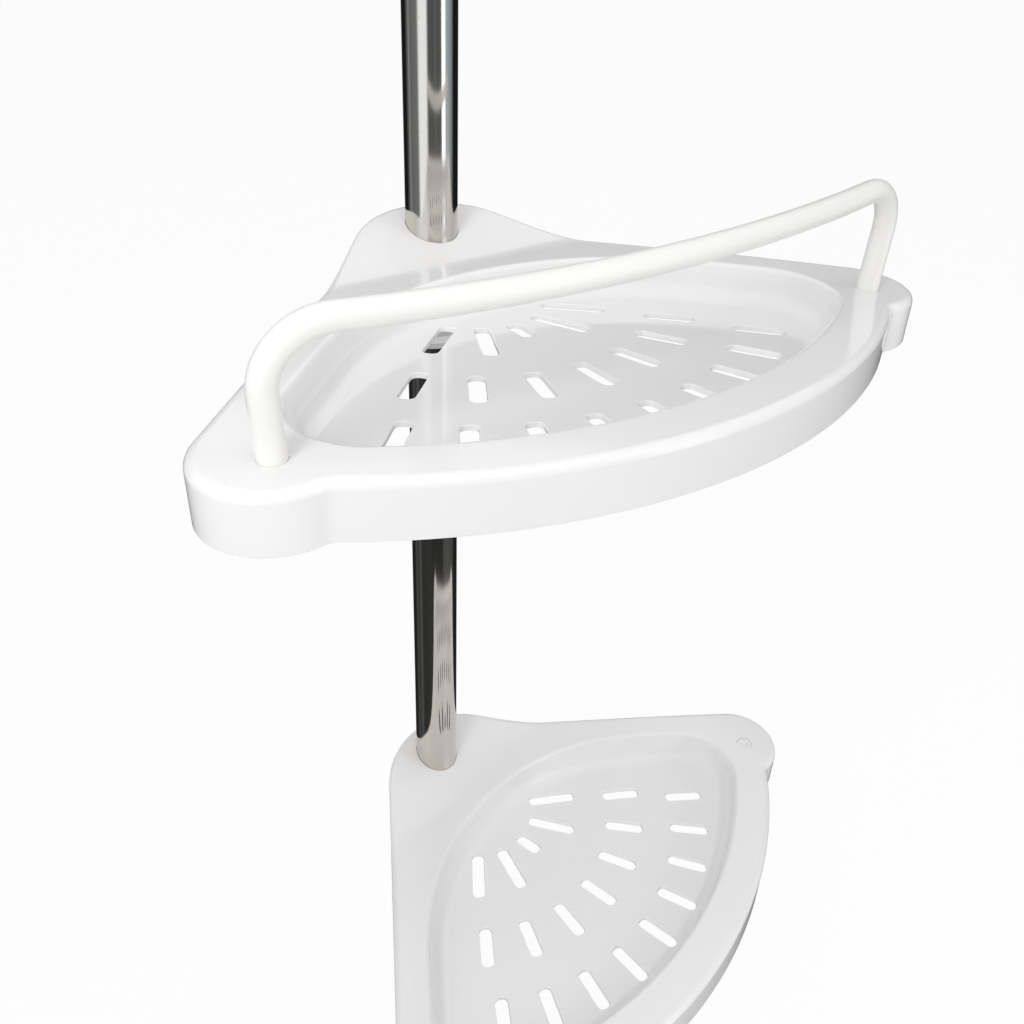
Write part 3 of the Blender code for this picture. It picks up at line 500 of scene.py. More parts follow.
def slot_cutter():
    """Cutters for all the slots, flared above and below so that the slots' edges are soft."""
    turns = [math.radians(22.5 * i) for i in range(5)]
    under = -FLOOR_TOP
    profile = [
        (under - OVERRUN, SLOT_EDGE / 2),
        (under - SEAM, SLOT_EDGE / 2),
        (under + SLOT_EDGE / 2, 0),
    ]
    mouth = FLOOR_TOP + SEAM - SLOT_EDGE
    profile += [
        (mouth + SLOT_EDGE * math.sin(turn), SLOT_EDGE * (1 - math.cos(turn))) for turn in turns
    ]
    profile.append((FLOOR_TOP + FLOOR_FILLET * 2, SLOT_EDGE))
    shape = bmesh.new()
    for place in slot_places():
        lofted(shape, [level(slot_outline(place, grow), height) for height, grow in profile])
    return mesh_of(shape)


def ring(shape, points):
    """A closed ring of vertices and edges through points."""
    verts = [shape.verts.new(point) for point in points]
    return verts, [shape.edges.new((verts[i - 1], verts[i])) for i in range(len(verts))]


def skin(shape, loops):
    """Extrude the first loop to each following one. Returns the first and the last ring of edges."""
    verts, edges = ring(shape, loops[0])
    first = edges
    for loop in loops[1:]:
        lifted = bmesh.ops.extrude_edge_only(shape, edges=edges)["geom"]
        fresh = {item for item in lifted if isinstance(item, bmesh.types.BMVert)}
        verts = [
            next(edge.other_vert(vert) for edge in vert.link_edges if edge.other_vert(vert) in fresh)
            for vert in verts
        ]
        for vert, point in zip(verts, loop):
            vert.co = point
        edges = [shape.edges.get((verts[i - 1], verts[i])) for i in range(len(verts))]
    return first, edges


def lofted(shape, loops):
    """A closed solid through the loops, with a flat face at each end."""
    for end in skin(shape, loops):
        bmesh.ops.contextual_create(shape, geom=end)
    return shape


def ear_hole(side):
    """The middle of the right ear's hole (side 1) or of the left ear's (side -1)."""
    x, y = wall_point(EAR_HOLE_REACH, EAR_HOLE_OFFSET)
    return (x, side * y)


def post(centre, radius, foot, steps):
    """A post from its foot up into the deck, its top following the deck's slope."""
    outline = arc(centre, radius, 0, math.tau, steps)
    loops = [level(outline, foot), along_deck(outline, WALL_THICKNESS / 2)]
    return mesh_of(lofted(bmesh.new(), loops))


def rib(side):
    """A rib under the hub, along the wall, its top inside the deck all along."""
    sections = []
    for along in np.linspace(BOSS_RADIUS - RIB_THICKNESS, RIB_REACH, RIB_STATIONS):
        feet = [wall_point(along, out) for out in (RIB_THICKNESS / 2, -RIB_THICKNESS / 2)]
        feet = [(x, side * y) for x, y in feet]
        sections.append(level(feet, FLOOR_TOP) + along_deck(feet[::-1], WALL_THICKNESS / 2))
    return mesh_of(lofted(bmesh.new(), sections))


def bore_cutter():
    """The hub's bore: the sleeve's taper, and the tube's hole above it."""
    foot = -BOSS_DEPTH - OVERRUN
    flare = (TAPER_BOTTOM_RADIUS - TAPER_TOP_RADIUS) / (TAPER_TOP_Z + BOSS_DEPTH)
    top = deck_height(HUB_BACK) + OVERRUN
    profile = [
        (0, foot),
        (TAPER_BOTTOM_RADIUS + flare * OVERRUN, foot),
        (TAPER_TOP_RADIUS, TAPER_TOP_Z),
        (TUBE_RADIUS + GAP / 2, TAPER_TOP_Z),
        (TUBE_RADIUS + GAP / 2, top),
        (0, top),
    ]
    return turned(profile)


def ear_cutter(side):
    """An ear's hole: the socket's bore, and the rail's hole above it."""
    profile = [
        (0, -SKIRT_DEPTH - OVERRUN),
        (EAR_HOLE_RADIUS, -SKIRT_DEPTH - OVERRUN),
        (EAR_HOLE_RADIUS, RIM_HEIGHT - WALL_THICKNESS),
        (RAIL_RADIUS + FIT, RIM_HEIGHT - WALL_THICKNESS),
        (RAIL_RADIUS + FIT, RIM_HEIGHT + OVERRUN),
        (0, RIM_HEIGHT + OVERRUN),
    ]
    shape = turned(profile, steps=HOLE_STEPS)
    shape.transform(Matrix.Translation((*ear_hole(side), 0)))
    return shape


def joined(target, operation, mesh):
    """Add or cut a mesh by a Boolean. Returns the object that carries the mesh."""
    helper = bpy.data.objects.new("helper", mesh)
    bpy.context.scene.collection.objects.link(helper)
    modifier = target.modifiers.new(operation.lower(), "BOOLEAN")
    modifier.operation = operation
    modifier.solver = "EXACT"
    modifier.object = helper
    return helper


def tray_mesh():
    """One moulded tray, with its origin on the pole's axis and in the middle of its floor."""
    shape = lofted(bmesh.new(), recess_loops() + rim_loops() + shell_loops())
    blank = bpy.data.objects.new("tray_blank", mesh_of(shape))
    bpy.context.scene.collection.objects.link(blank)
    helpers = [joined(blank, "UNION", post((0, 0), BOSS_RADIUS, -BOSS_DEPTH, BOSS_STEPS))]
    ear_boss_radius = EAR_HOLE_RADIUS + EAR_BOSS_WALL
    for side in (1, -1):
        boss = post(ear_hole(side), ear_boss_radius, SOCKET_FLANGE_HEIGHT - SKIRT_DEPTH, HOLE_STEPS)
        helpers.append(joined(blank, "UNION", boss))
        helpers.append(joined(blank, "UNION", rib(side)))
        helpers.append(joined(blank, "DIFFERENCE", ear_cutter(side)))
    helpers.append(joined(blank, "DIFFERENCE", bore_cutter()))
    helpers.append(joined(blank, "DIFFERENCE", slot_cutter()))
    bpy.context.view_layer.update()
    graph = bpy.context.evaluated_depsgraph_get()
    mesh = bpy.data.meshes.new_from_object(blank.evaluated_get(graph))
    for obj in [blank, *helpers]:
        bpy.data.objects.remove(obj, do_unlink=True)
    mesh.shade_smooth()
    mesh.set_sharp_from_angle(angle=SHARP_FROM)
    return mesh


def placed(mesh, height, swivel):
    """A copy of a shelf's piece, at the shelf's height and turned with it."""
    moved = mesh.copy()
    moved.transform(Matrix.Translation((0, 0, height)) @ Matrix.Rotation(swivel, 4, "Z"))
    return moved


def rail_corner():
    """Where the right post and the bow would meet without their bend."""
    x, y = ear_hole(1)
    rise = RAIL_HEIGHT - RIM_HEIGHT
    return Vector((x + rise * RAIL_LEAN_FORWARD, y + rise * RAIL_LEAN_OUT, RAIL_HEIGHT))


def rail_bow(share):
    """A point on the bow, from 0 in its middle to 1 at its right corner."""
    corner = rail_corner()
    swell = 1 - share**2
    return Vector((corner.x + RAIL_BULGE * swell, corner.y * share, corner.z - RAIL_SAG * swell))


def rail_half():
    """Points round the right bend and along the bow to its middle."""
    corner = rail_corner()
    upward = (corner - Vector((*ear_hole(1), RIM_HEIGHT))).normalized()
    inward = (rail_bow(0.97) - corner).normalized()
    half_turn = upward.angle(inward) / 2
    cut = RAIL_BEND * math.tan(half_turn)
    bend_start = corner - upward * cut
    bow_start = rail_bow(1 - cut / corner.y)
    pull = math.cos(half_turn)
    points = []
    for share in np.linspace(0, 1, RAIL_POINTS):
        weights = ((1 - share) ** 2, 2 * pull * share * (1 - share), share**2)
        total = bend_start * weights[0] + corner * weights[1] + bow_start * weights[2]
        points.append(total / sum(weights))
    shares = np.linspace(0.96, 0, RAIL_POINTS)
    return points + [rail_bow(share * (1 - cut / corner.y)) for share in shares]


def rail_points():
    """The whole rail from post to post, tilted to one side, its ends sunk in the ears."""
    half = rail_half()
    bow = half + [Vector((p.x, -p.y, p.z)) for p in reversed(half[:-1])]
    bow = [Vector((p.x, p.y - RAIL_TILT * (p.z - RIM_HEIGHT), p.z + RAIL_TILT * p.y)) for p in bow]
    right, left = ear_hole(1), ear_hole(-1)
    mouth = RIM_HEIGHT + GAP
    start = [Vector((*right, -RAIL_SINK)), Vector((*right, mouth))]
    end = [Vector((*left, mouth)), Vector((*left, -RAIL_SINK))]
    return start + bow + end


def rod_mesh(points, radius, resolution):
    """A round rod along a line of points, with flat ends."""
    curve = bpy.data.curves.new("rod", "CURVE")
    curve.dimensions = "3D"
    curve.bevel_depth = radius
    curve.bevel_resolution = resolution
    curve.use_fill_caps = True
    spline = curve.splines.new("POLY")
    spline.points.add(len(points) - 1)
    for target, point in zip(spline.points, points):
        target.co = (*point, 1.0)
    obj = bpy.data.objects.new("rod", curve)
    bpy.context.scene.collection.objects.link(obj)
    shape = bmesh.new()
    shape.from_mesh(bpy.data.meshes.new_from_object(obj))
    bpy.data.objects.remove(obj, do_unlink=True)
    bmesh.ops.remove_doubles(shape, verts=shape.verts, dist=MERGE)
    return mesh_of(shape, ROD_SHARP_FROM)


def spring_mesh():
    """The compression spring, whose wire starts and ends upright for one wire diameter."""
    lead = WIRE_RADIUS * 2
    points = [Vector((COIL_RADIUS, 0, SPRING_FOOT))]
    for share in np.linspace(0, 1, SPRING_TURNS * POINTS_PER_TURN + 1):
        angle = math.tau * SPRING_TURNS * share
        height = SPRING_FOOT + lead + (SPRING_TOP - SPRING_FOOT - 2 * lead) * share
        points.append(Vector((COIL_RADIUS * math.cos(angle), COIL_RADIUS * math.sin(angle), height)))
    points.append(Vector((*points[-1][:2], SPRING_TOP)))
    return rod_mesh(points, WIRE_RADIUS, WIRE_ROUNDNESS)


def tube_mesh(radius, wall, foot, top):
    bore = radius - wall
    profile = [(bore, foot), (radius, foot), (radius, top), (bore, top)]
    return turned(profile, steps=TUBE_STEPS, edge=TUBE_ROUNDING)


def pad_mesh():
    """A rubber pad: a dish for the cup, with ring grooves in its underside for grip."""
    inner = PAD_RADIUS - PAD_WALL
    grooves = []
    for radius in PAD_GROOVES:
        end = radius + GROOVE_WIDTH
        grooves += [(radius, 0), (radius + GROOVE_SLANT, GROOVE_DEPTH)]
        grooves += [(end - GROOVE_SLANT, GROOVE_DEPTH), (end, 0)]
    profile = [
        (0, 0),
        *grooves,
        (PAD_RADIUS - PAD_EDGE, 0),
        (PAD_RADIUS, PAD_EDGE),
        (PAD_RADIUS - PAD_EDGE / 2, PAD_HEIGHT),
        (inner, PAD_HEIGHT),
        (inner, PAD_FLOOR),
        (0, PAD_FLOOR),
    ]
    return turned(profile, edge=SMALL_ROUNDING)


def cup_mesh(tube_radius, tube_wall):
    """An end cup: a flared base, a neck round the tube and a spigot inside it. It is made foot down."""
    foot = PAD_FLOOR + GAP
    seat = foot + CUP_FLOOR
    base_radius = PAD_RADIUS - PAD_WALL - GAP
    neck = tube_radius + GAP + CUP_NECK_WALL
    spigot = tube_radius - tube_wall - GAP
    flare = [
        (
            neck + (base_radius - neck) * (1 - share) ** 2,
            foot + CUP_BASE_HEIGHT + (CUP_HEIGHT - CUP_BASE_HEIGHT) * share,
        )
        for share in np.linspace(0, 0.9, 16)
    ]
    profile = [
        (0, foot),
        (base_radius, foot),
        *flare,
        (neck, foot + CUP_HEIGHT - CUP_EDGE),
        (neck - CUP_EDGE, foot + CUP_HEIGHT),
        (tube_radius + GAP, foot + CUP_HEIGHT),
        (tube_radius + GAP, seat),
        (spigot, seat),
        (spigot, seat + CUP_SPIGOT_LENGTH - CUP_EDGE),
        (spigot - CUP_EDGE, seat + CUP_SPIGOT_LENGTH),
        (0, seat + CUP_SPIGOT_LENGTH),
    ]
    return turned(profile, edge=CUP_ROUNDING)


def turned_over(mesh):
    """The same piece at the pole's head."""
    mesh.transform(Matrix.Translation((0, 0, HEAD_TOP)) @ Matrix.Rotation(math.pi, 4, "X"))
    return mesh


def collar_mesh():
    """The collar at the outer tube's mouth, whose lip guides the inner tube."""
    foot = UPPER_TUBE_TOP + GAP - COLLAR_GRIP
    top = UPPER_TUBE_TOP + GAP + COLLAR_LIP
    outer = TUBE_HOLE + COLLAR_WALL
    lip = INNER_TUBE_RADIUS + GAP
    profile = [
        (TUBE_HOLE, foot),
        (outer - COLLAR_EDGE, foot),
        (outer, foot + COLLAR_EDGE),
        (outer, top - COLLAR_EDGE * 2),
        (outer - COLLAR_EDGE, top - COLLAR_EDGE / 2),
        (outer - COLLAR_EDGE * 2, top),
        (lip, top),
        (lip, UPPER_TUBE_TOP + GAP),
        (TUBE_HOLE, UPPER_TUBE_TOP + GAP),
    ]
    return turned(profile, edge=CUP_ROUNDING)


def sleeve_half_mesh(start):
    """Half of the taper sleeve that clamps the tray to the tube, with its flange and neck."""
    top = TAPER_TOP_Z - GAP
    flange_top = -BOSS_DEPTH - GAP
    flange_foot = flange_top - SLEEVE_FLANGE_HEIGHT
    profile = [
        (TUBE_HOLE, top),
        (TAPER_TOP_RADIUS - GAP, top),
        (TAPER_BOTTOM_RADIUS - GAP, flange_top),
        (SLEEVE_FLANGE_RADIUS, flange_top),
        (SLEEVE_FLANGE_RADIUS, flange_foot),
        (SLEEVE_NECK_RADIUS, flange_foot),
        (SLEEVE_NECK_RADIUS, flange_foot - SLEEVE_NECK_LENGTH),
        (TUBE_HOLE, flange_foot - SLEEVE_NECK_LENGTH),
    ]
    start += SLEEVE_SPLIT / 2
    angle = math.pi - SLEEVE_SPLIT
    return turned(profile, steps=BOSS_STEPS, start=start, angle=angle, edge=SMALL_ROUNDING)


def sleeve_ring_mesh():
    """The ring on the sleeve's neck that keeps its halves together."""
    inner = SLEEVE_NECK_RADIUS + GAP
    foot = -BOSS_DEPTH - SLEEVE_FLANGE_HEIGHT - GAP * 2 - RING_HEIGHT
    outer = inner + RING_SECTION
    profile = [(inner, foot), (outer, foot), (outer, foot + RING_HEIGHT), (inner, foot + RING_HEIGHT)]
    return turned(profile, edge=RING_ROUNDING)


def socket_mesh():
    """The socket pressed into an ear from below, which holds the rail's end."""
    flange_top = -SKIRT_DEPTH + SOCKET_FLANGE_HEIGHT - GAP
    foot = flange_top - SOCKET_FLANGE_HEIGHT
    outer = EAR_HOLE_RADIUS - GAP
    inner = RAIL_RADIUS + GAP
    top = RIM_HEIGHT - WALL_THICKNESS - GAP
    profile = [
        (0, foot),
        (SOCKET_FLANGE_RADIUS, foot),
        (SOCKET_FLANGE_RADIUS, flange_top),
        (outer, flange_top),
        (outer, top),
        (inner, top),
        (inner, -RAIL_SINK - GAP),
        (0, -RAIL_SINK - GAP),
    ]
    return turned(profile, steps=BOSS_STEPS, edge=SMALL_ROUNDING)


def plug_mesh():
    """The plug that closes an ear hole, its head level with the rim and dimpled in the middle."""
    foot = -SKIRT_DEPTH + SOCKET_FLANGE_HEIGHT
    outer = EAR_HOLE_RADIUS - GAP
    shoulder = RIM_HEIGHT - WALL_THICKNESS - GAP
    inner = outer - PLUG_SHANK_WALL
    face = RIM_HEIGHT + PLUG_DOME / 2
    profile = [
        (0, face - PLUG_DIMPLE_DEPTH),
        (PLUG_DIMPLE_RADIUS - PLUG_DIMPLE_DEPTH, face - PLUG_DIMPLE_DEPTH),
        (PLUG_DIMPLE_RADIUS, face),
        (RAIL_RADIUS - PLUG_DOME, face),
        (RAIL_RADIUS, face - PLUG_DOME),
        (RAIL_RADIUS, shoulder),
        (outer, shoulder),
        (outer, foot),
        (inner, foot),
        (inner, RIM_HEIGHT - PLUG_HEAD_HEIGHT),
        (0, RIM_HEIGHT - PLUG_HEAD_HEIGHT),
    ]
    return turned(profile, steps=BOSS_STEPS, edge=PLUG_ROUNDING)


# Shared effects


def effect(name, inputs, outputs):
    """An empty node group with named inputs and outputs."""
    group = bpy.data.node_groups.new(name, "ShaderNodeTree")
    group.interface.new_socket(name="Vector", in_out="INPUT", socket_type="NodeSocketVector")
    for label, value in inputs.items():
        socket = group.interface.new_socket(name=label, in_out="INPUT", socket_type="NodeSocketFloat")
        socket.default_value = value
    for label in outputs:
        group.interface.new_socket(name=label, in_out="OUTPUT", socket_type="NodeSocketFloat")
    return group, group.nodes.new("NodeGroupInput"), group.nodes.new("NodeGroupOutput")


def linked(tree, socket, value):
    """Link an output to a socket, or set the socket to a number."""
    if isinstance(value, bpy.types.NodeSocket):
        tree.links.new(value, socket)
    else:
        socket.default_value = value


def maths(tree, operation, first, second):
    node = tree.nodes.new("ShaderNodeMath")
    node.operation = operation
    linked(tree, node.inputs[0], first)
    linked(tree, node.inputs[1], second)
    return node.outputs[0]


def noise(tree, vector, scale, detail=2.0, roughness=0.5):
    node = tree.nodes.new("ShaderNodeTexNoise")
    tree.links.new(vector, node.inputs["Vector"])
    linked(tree, node.inputs["Scale"], scale)
    node.inputs["Detail"].default_value = detail
    node.inputs["Roughness"].default_value = roughness
    return node.outputs["Fac"]


def ramp(tree, value, low, high, start=0.0, end=1.0):
    """Map low..high smoothly to start..end."""
    node = tree.nodes.new("ShaderNodeMapRange")
    node.interpolation_type = "SMOOTHSTEP"
    linked(tree, node.inputs["Value"], value)
    linked(tree, node.inputs["From Min"], low)
    linked(tree, node.inputs["From Max"], high)
    linked(tree, node.inputs["To Min"], start)
    linked(tree, node.inputs["To Max"], end)
    return node.outputs["Result"]


def scaled(tree, vector, factors):
    node = tree.nodes.new("ShaderNodeMapping")
    tree.links.new(vector, node.inputs["Vector"])
    node.inputs["Scale"].default_value = factors
    return node.outputs["Vector"]


def moulded_skin():
    """The slow waves and fine grain of a moulded or coated surface, and the flow of its tone."""
    inputs = {"Wave Scale": 220.0, "Grain Scale": 1800.0, "Grain Share": 0.2}
    group, inside, outside = effect("moulded_skin", inputs, ("Height", "Flow"))
    vector = inside.outputs["Vector"]
    waves = noise(group, vector, inside.outputs["Wave Scale"], 1.0)
    grain = noise(group, vector, inside.outputs["Grain Scale"], 3.0, 0.6)
    share = inside.outputs["Grain Share"]
    fine = maths(group, "MULTIPLY", grain, share)
    slow = maths(group, "MULTIPLY", waves, maths(group, "SUBTRACT", 1.0, share))
    flow = ramp(group, noise(group, vector, 11.0, 3.0, 0.55), 0.3, 0.7)
    group.links.new(maths(group, "ADD", fine, slow), outside.inputs["Height"])
    group.links.new(flow, outside.inputs["Flow"])
    return group


def water_marks():
    """Dried drops and a faint wiped haze."""
    group, inside, outside = effect("water_marks", {"Drop Scale": 150.0, "Haze": 0.5}, ("Mask",))
    vector = inside.outputs["Vector"]
    drops = group.nodes.new("ShaderNodeTexVoronoi")
    group.links.new(vector, drops.inputs["Vector"])
    group.links.new(inside.outputs["Drop Scale"], drops.inputs["Scale"])
    inner = ramp(group, drops.outputs["Distance"], 0.10, 0.15)
    outer = ramp(group, drops.outputs["Distance"], 0.22, 0.16)
    rims = maths(group, "MULTIPLY", inner, outer)
    where = ramp(group, noise(group, vector, 24.0), 0.52, 0.66)
    haze = ramp(group, noise(group, scaled(group, vector, (60, 60, 16)), 1.0, 4.0, 0.6), 0.45, 0.75)
    dried = maths(group, "MULTIPLY", rims, where)
    wiped = maths(group, "MULTIPLY", haze, inside.outputs["Haze"])
    group.links.new(maths(group, "MAXIMUM", dried, wiped), outside.inputs["Mask"])
    return group


def polishing_lines():
    """Long fine lines that drawing and polishing leave along a tube."""
    group, inside, outside = effect("polishing_lines", {"Across": 1.0}, ("Height", "Mask"))
    vector = inside.outputs["Vector"]
    broad = noise(group, scaled(group, vector, (420, 420, 2.5)), inside.outputs["Across"], 2.0)
    fine = noise(group, scaled(group, vector, (2600, 2600, 14)), inside.outputs["Across"], 2.0)
    shares = maths(group, "MULTIPLY", broad, 0.75), maths(group, "MULTIPLY", fine, 0.25)
    group.links.new(maths(group, "ADD", *shares), outside.inputs["Height"])
    group.links.new(ramp(group, fine, 0.35, 0.75), outside.inputs["Mask"])
    return group


SKIN = moulded_skin()
MARKS = water_marks()
LINES = polishing_lines()

# Finishes


def placed_effect(tree, group, vector, **values):
    node = tree.nodes.new("ShaderNodeGroup")
    node.node_tree = group
    tree.links.new(vector, node.inputs["Vector"])
    for label, value in values.items():
        node.inputs[label.replace("_", " ").title()].default_value = value
    return node.outputs


def started(name, metallic=0.0):
    """A new material, its shader, its tree and the piece's own coordinates."""
    material = bpy.data.materials.new(name)
    material.use_nodes = True
    tree = material.node_tree
    shader = tree.nodes["Principled BSDF"]
    shader.inputs["Metallic"].default_value = metallic
    return material, tree, shader, tree.nodes.new("ShaderNodeTexCoord").outputs["Object"]


def tinted(tree, shader, mask, first, second):
    mix = tree.nodes.new("ShaderNodeMix")
    mix.data_type = "RGBA"
    tree.links.new(mask, mix.inputs["Factor"])
    mix.inputs["A"].default_value = (*first, 1)
    mix.inputs["B"].default_value = (*second, 1)
    tree.links.new(mix.outputs["Result"], shader.inputs["Base Color"])


def glossed(tree, shader, mask, low, high):
    tree.links.new(ramp(tree, mask, 0.0, 1.0, low, high), shader.inputs["Roughness"])


def bumped(tree, shader, height, distance, strength):
    bump = tree.nodes.new("ShaderNodeBump")
    bump.inputs["Distance"].default_value = distance
    bump.inputs["Strength"].default_value = strength
    tree.links.new(height, bump.inputs["Height"])
    tree.links.new(bump.outputs["Normal"], shader.inputs["Normal"])


def moulded_plastic(name, tones, gloss, distance, waves, grain, share, haze=0.4, drops=150.0):
    """A moulded plastic: its tone follows the flow, its gloss the water marks, its bump the skin."""
    material, tree, shader, vector = started(name)
    skin = placed_effect(tree, SKIN, vector, wave_scale=waves, grain_scale=grain, grain_share=share)
    marks = placed_effect(tree, MARKS, vector, drop_scale=drops, haze=haze)
    tinted(tree, shader, skin["Flow"], *tones)
    glossed(tree, shader, marks["Mask"], *gloss)
    bumped(tree, shader, skin["Height"], distance, 0.5)
    return material


def polished_tube_steel():
    material, tree, shader, vector = started("polished_tube_steel", metallic=1.0)
    lines = placed_effect(tree, LINES, vector)
    marks = placed_effect(tree, MARKS, vector, drop_scale=210.0, haze=0.35)
    worn = maths(tree, "MAXIMUM", marks["Mask"], maths(tree, "MULTIPLY", lines["Mask"], 0.35))
    tinted(tree, shader, marks["Mask"], (0.70, 0.66, 0.608), (0.61, 0.58, 0.545))
    glossed(tree, shader, worn, 0.085, 0.20)
    bumped(tree, shader, lines["Height"], 0.00001, 0.5)
    return material


def zinc_plate():
    """Plated wire and sleeve: the plating's pale spangle and a matt grain."""
    material, tree, shader, vector = started("zinc_plate", metallic=1.0)
    skin = placed_effect(tree, SKIN, vector, wave_scale=600.0, grain_scale=4200.0, grain_share=0.6)
    spangle = tree.nodes.new("ShaderNodeTexVoronoi")
    spangle.inputs["Scale"].default_value = 320.0
    tree.links.new(vector, spangle.inputs["Vector"])
    tone = ramp(tree, spangle.outputs["Color"], 0.1, 0.9)
    tinted(tree, shader, tone, (0.55, 0.56, 0.58), (0.66, 0.665, 0.67))
    glossed(tree, shader, tone, 0.32, 0.46)
    bumped(tree, shader, skin["Height"], 0.00004, 0.5)
    return material


gloss_white_abs = moulded_plastic(
    "gloss_white_abs",
    ((0.868, 0.862, 0.862), (0.850, 0.845, 0.847)),
    (0.08, 0.19),
    distance=0.00003,
    waves=180.0,
    grain=1500.0,
    share=0.06,
)
rail_coating = moulded_plastic(
    "rail_coating",
    ((0.88, 0.874, 0.858), (0.865, 0.857, 0.838)),
    (0.31, 0.34),
    distance=0.00003,
    waves=520.0,
    grain=2400.0,
    share=0.25,
    drops=420.0,
)
satin_white_cap = moulded_plastic(
    "satin_white_cap",
    ((0.83, 0.83, 0.825), (0.80, 0.80, 0.80)),
    (0.34, 0.46),
    distance=0.00004,
    waves=300.0,
    grain=2600.0,
    share=0.5,
)
matt_grey_sleeve = moulded_plastic(
    "matt_grey_sleeve",
    ((0.56, 0.57, 0.59), (0.52, 0.53, 0.55)),
    (0.45, 0.58),
    distance=0.00005,
    waves=260.0,
    grain=2200.0,
    share=0.6,
)
grey_grip_rubber = moulded_plastic(
    "grey_grip_rubber",
    ((0.20, 0.20, 0.21), (0.25, 0.25, 0.255)),
    (0.62, 0.82),
    distance=0.00008,
    waves=240.0,
    grain=1900.0,
    share=0.7,
    haze=0.9,
)
tube_steel = polished_tube_steel()
plated_steel = zinc_plate()

# Pole and head

lower_tube = tube_mesh(TUBE_RADIUS, TUBE_WALL, TUBE_FOOT_Z, LOWER_TUBE_TOP)
upper_tube = tube_mesh(TUBE_RADIUS, TUBE_WALL, UPPER_TUBE_FOOT, UPPER_TUBE_TOP)
inner_tube = tube_mesh(INNER_TUBE_RADIUS, INNER_TUBE_WALL, INNER_TUBE_FOOT, INNER_TUBE_TOP)
foot_cup = cup_mesh(TUBE_RADIUS, TUBE_WALL)
head_cup = turned_over(cup_mesh(INNER_TUBE_RADIUS, INNER_TUBE_WALL))
crisp_piece("rubber_foot", pad_mesh(), grey_grip_rubber, "pole", "grey_rubber", "foot_pad")
crisp_piece("moulded_foot_cup", foot_cup, satin_white_cap, "pole", "white_cup", "foot_cup")
crisp_piece("lower_steel_tube", lower_tube, tube_steel, "pole", "polished_steel", "lower_tube")
crisp_piece("upper_steel_tube", upper_tube, tube_steel, "pole", "polished_steel", "upper_tube")
crisp_piece("moulded_guide_collar", collar_mesh(), satin_white_cap, "pole", "white_cup", "guide_collar")
crisp_piece("inner_steel_tube", inner_tube, tube_steel, "head", "polished_steel", "inner_tube")
crisp_piece("moulded_head_cup", head_cup, satin_white_cap, "head", "white_cup", "head_cup")
crisp_piece("rubber_head", turned_over(pad_mesh()), grey_grip_rubber, "head", "grey_rubber", "head_pad")
coil = spring_mesh()
spring = piece("wound_spring", coil, plated_steel, "pole", "zinc_plated_steel", "tension_spring")
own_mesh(spring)
for name, material in (
    ("tube_coupling", plated_steel),
    ("spring_seat", matt_grey_sleeve),
    ("inner_bush", matt_grey_sleeve),
):
    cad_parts[name].material_slots[0].material = material

# Shelves and their clamp sleeves

tray = tray_mesh()
# Which shelf, its tray's height and turn, and what goes into its ears
shelves = (
    ("upper", UPPER_TRAY_Z, UPPER_SWIVEL, "socket", socket_mesh, satin_white_cap),
    ("lower", LOWER_TRAY_Z, LOWER_SWIVEL, "plug", plug_mesh, gloss_white_abs),
)
for level_name, height, swivel, fitting, make_fitting, finish in shelves:
    shelf, sleeve = level_name + "_shelf", level_name + "_sleeve"
    mesh = placed(tray, height, swivel)
    node = level_name + "_tray"
    crisp_piece(shelf + "_moulding", mesh, gloss_white_abs, shelf, "gloss_white_tray", node)
    for half, start in (("front", math.pi), ("back", 0.0)):
        mesh = placed(sleeve_half_mesh(start), height, 0)
        node = f"{sleeve}_{half}"
        crisp_piece(node + "_half", mesh, matt_grey_sleeve, sleeve, "grey_sleeve", node)
    mesh = placed(sleeve_ring_mesh(), height, 0)
    node = sleeve + "_ring"
    crisp_piece(sleeve + "_lock_ring", mesh, satin_white_cap, sleeve, "white_cup", node)
    for hand, side in (("left", -1), ("right", 1)):
        mesh = make_fitting()
        mesh.transform(Matrix.Translation((*ear_hole(side), 0)))
        mesh = placed(mesh, height, swivel)
        name, node = f"{level_name}_ear_{fitting}_{hand}", f"{level_name}_{fitting}_{hand}"
        crisp_piece(name, mesh, finish, shelf, "white_cup", node)
rail = placed(rod_mesh(rail_points(), RAIL_RADIUS, RAIL_ROUNDNESS), UPPER_TRAY_Z, UPPER_SWIVEL)
piece("guard_rail", rail, rail_coating, "upper_shelf", "satin_white_rail", "upper_rail")

# Studio

LAMP_AIM_Z = 0.45

# Name, azimuth and elevation in degrees, distance and size in metres, power in watts
LAMPS = (
    ("key_lamp", 200, 35, 0.9, 0.22, 1.8),
    ("right_lamp", 298, 10, 1.6, 0.4, 4.1),
    ("top_lamp", 240, 80, 1.7, 0.9, 3.9),
    ("left_lamp", 200, 12, 1.8, 0.8, 3.3),
)
FLOOR_COLOUR = (0.93, 0.93, 0.93, 1)
FLOOR_GLOW = 0.92
FLOOR_SIZE = 20
WORLD_LIGHT = 0.65
SEEN_WORLD_LIGHT = 1.0


def lamp(name, azimuth, elevation, distance, size, power):
    """A square soft box aimed at the shelves. The cards, not the lamps, show in reflections."""
    light = bpy.data.lights.new(name, "AREA")
    light.shape = "SQUARE"
    light.size = size
    light.energy = power
    obj = bpy.data.objects.new(name, light)
    bpy.context.scene.collection.objects.link(obj)
    theta, phi = math.radians(azimuth), math.radians(elevation)
    offset = Vector((math.cos(theta) * math.cos(phi), math.sin(theta) * math.cos(phi), math.sin(phi)))
    obj.location = Vector((0, 0, LAMP_AIM_Z)) + offset * distance
    obj.rotation_euler = (-offset).to_track_quat("-Z", "Y").to_euler()
    obj.visible_glossy = False


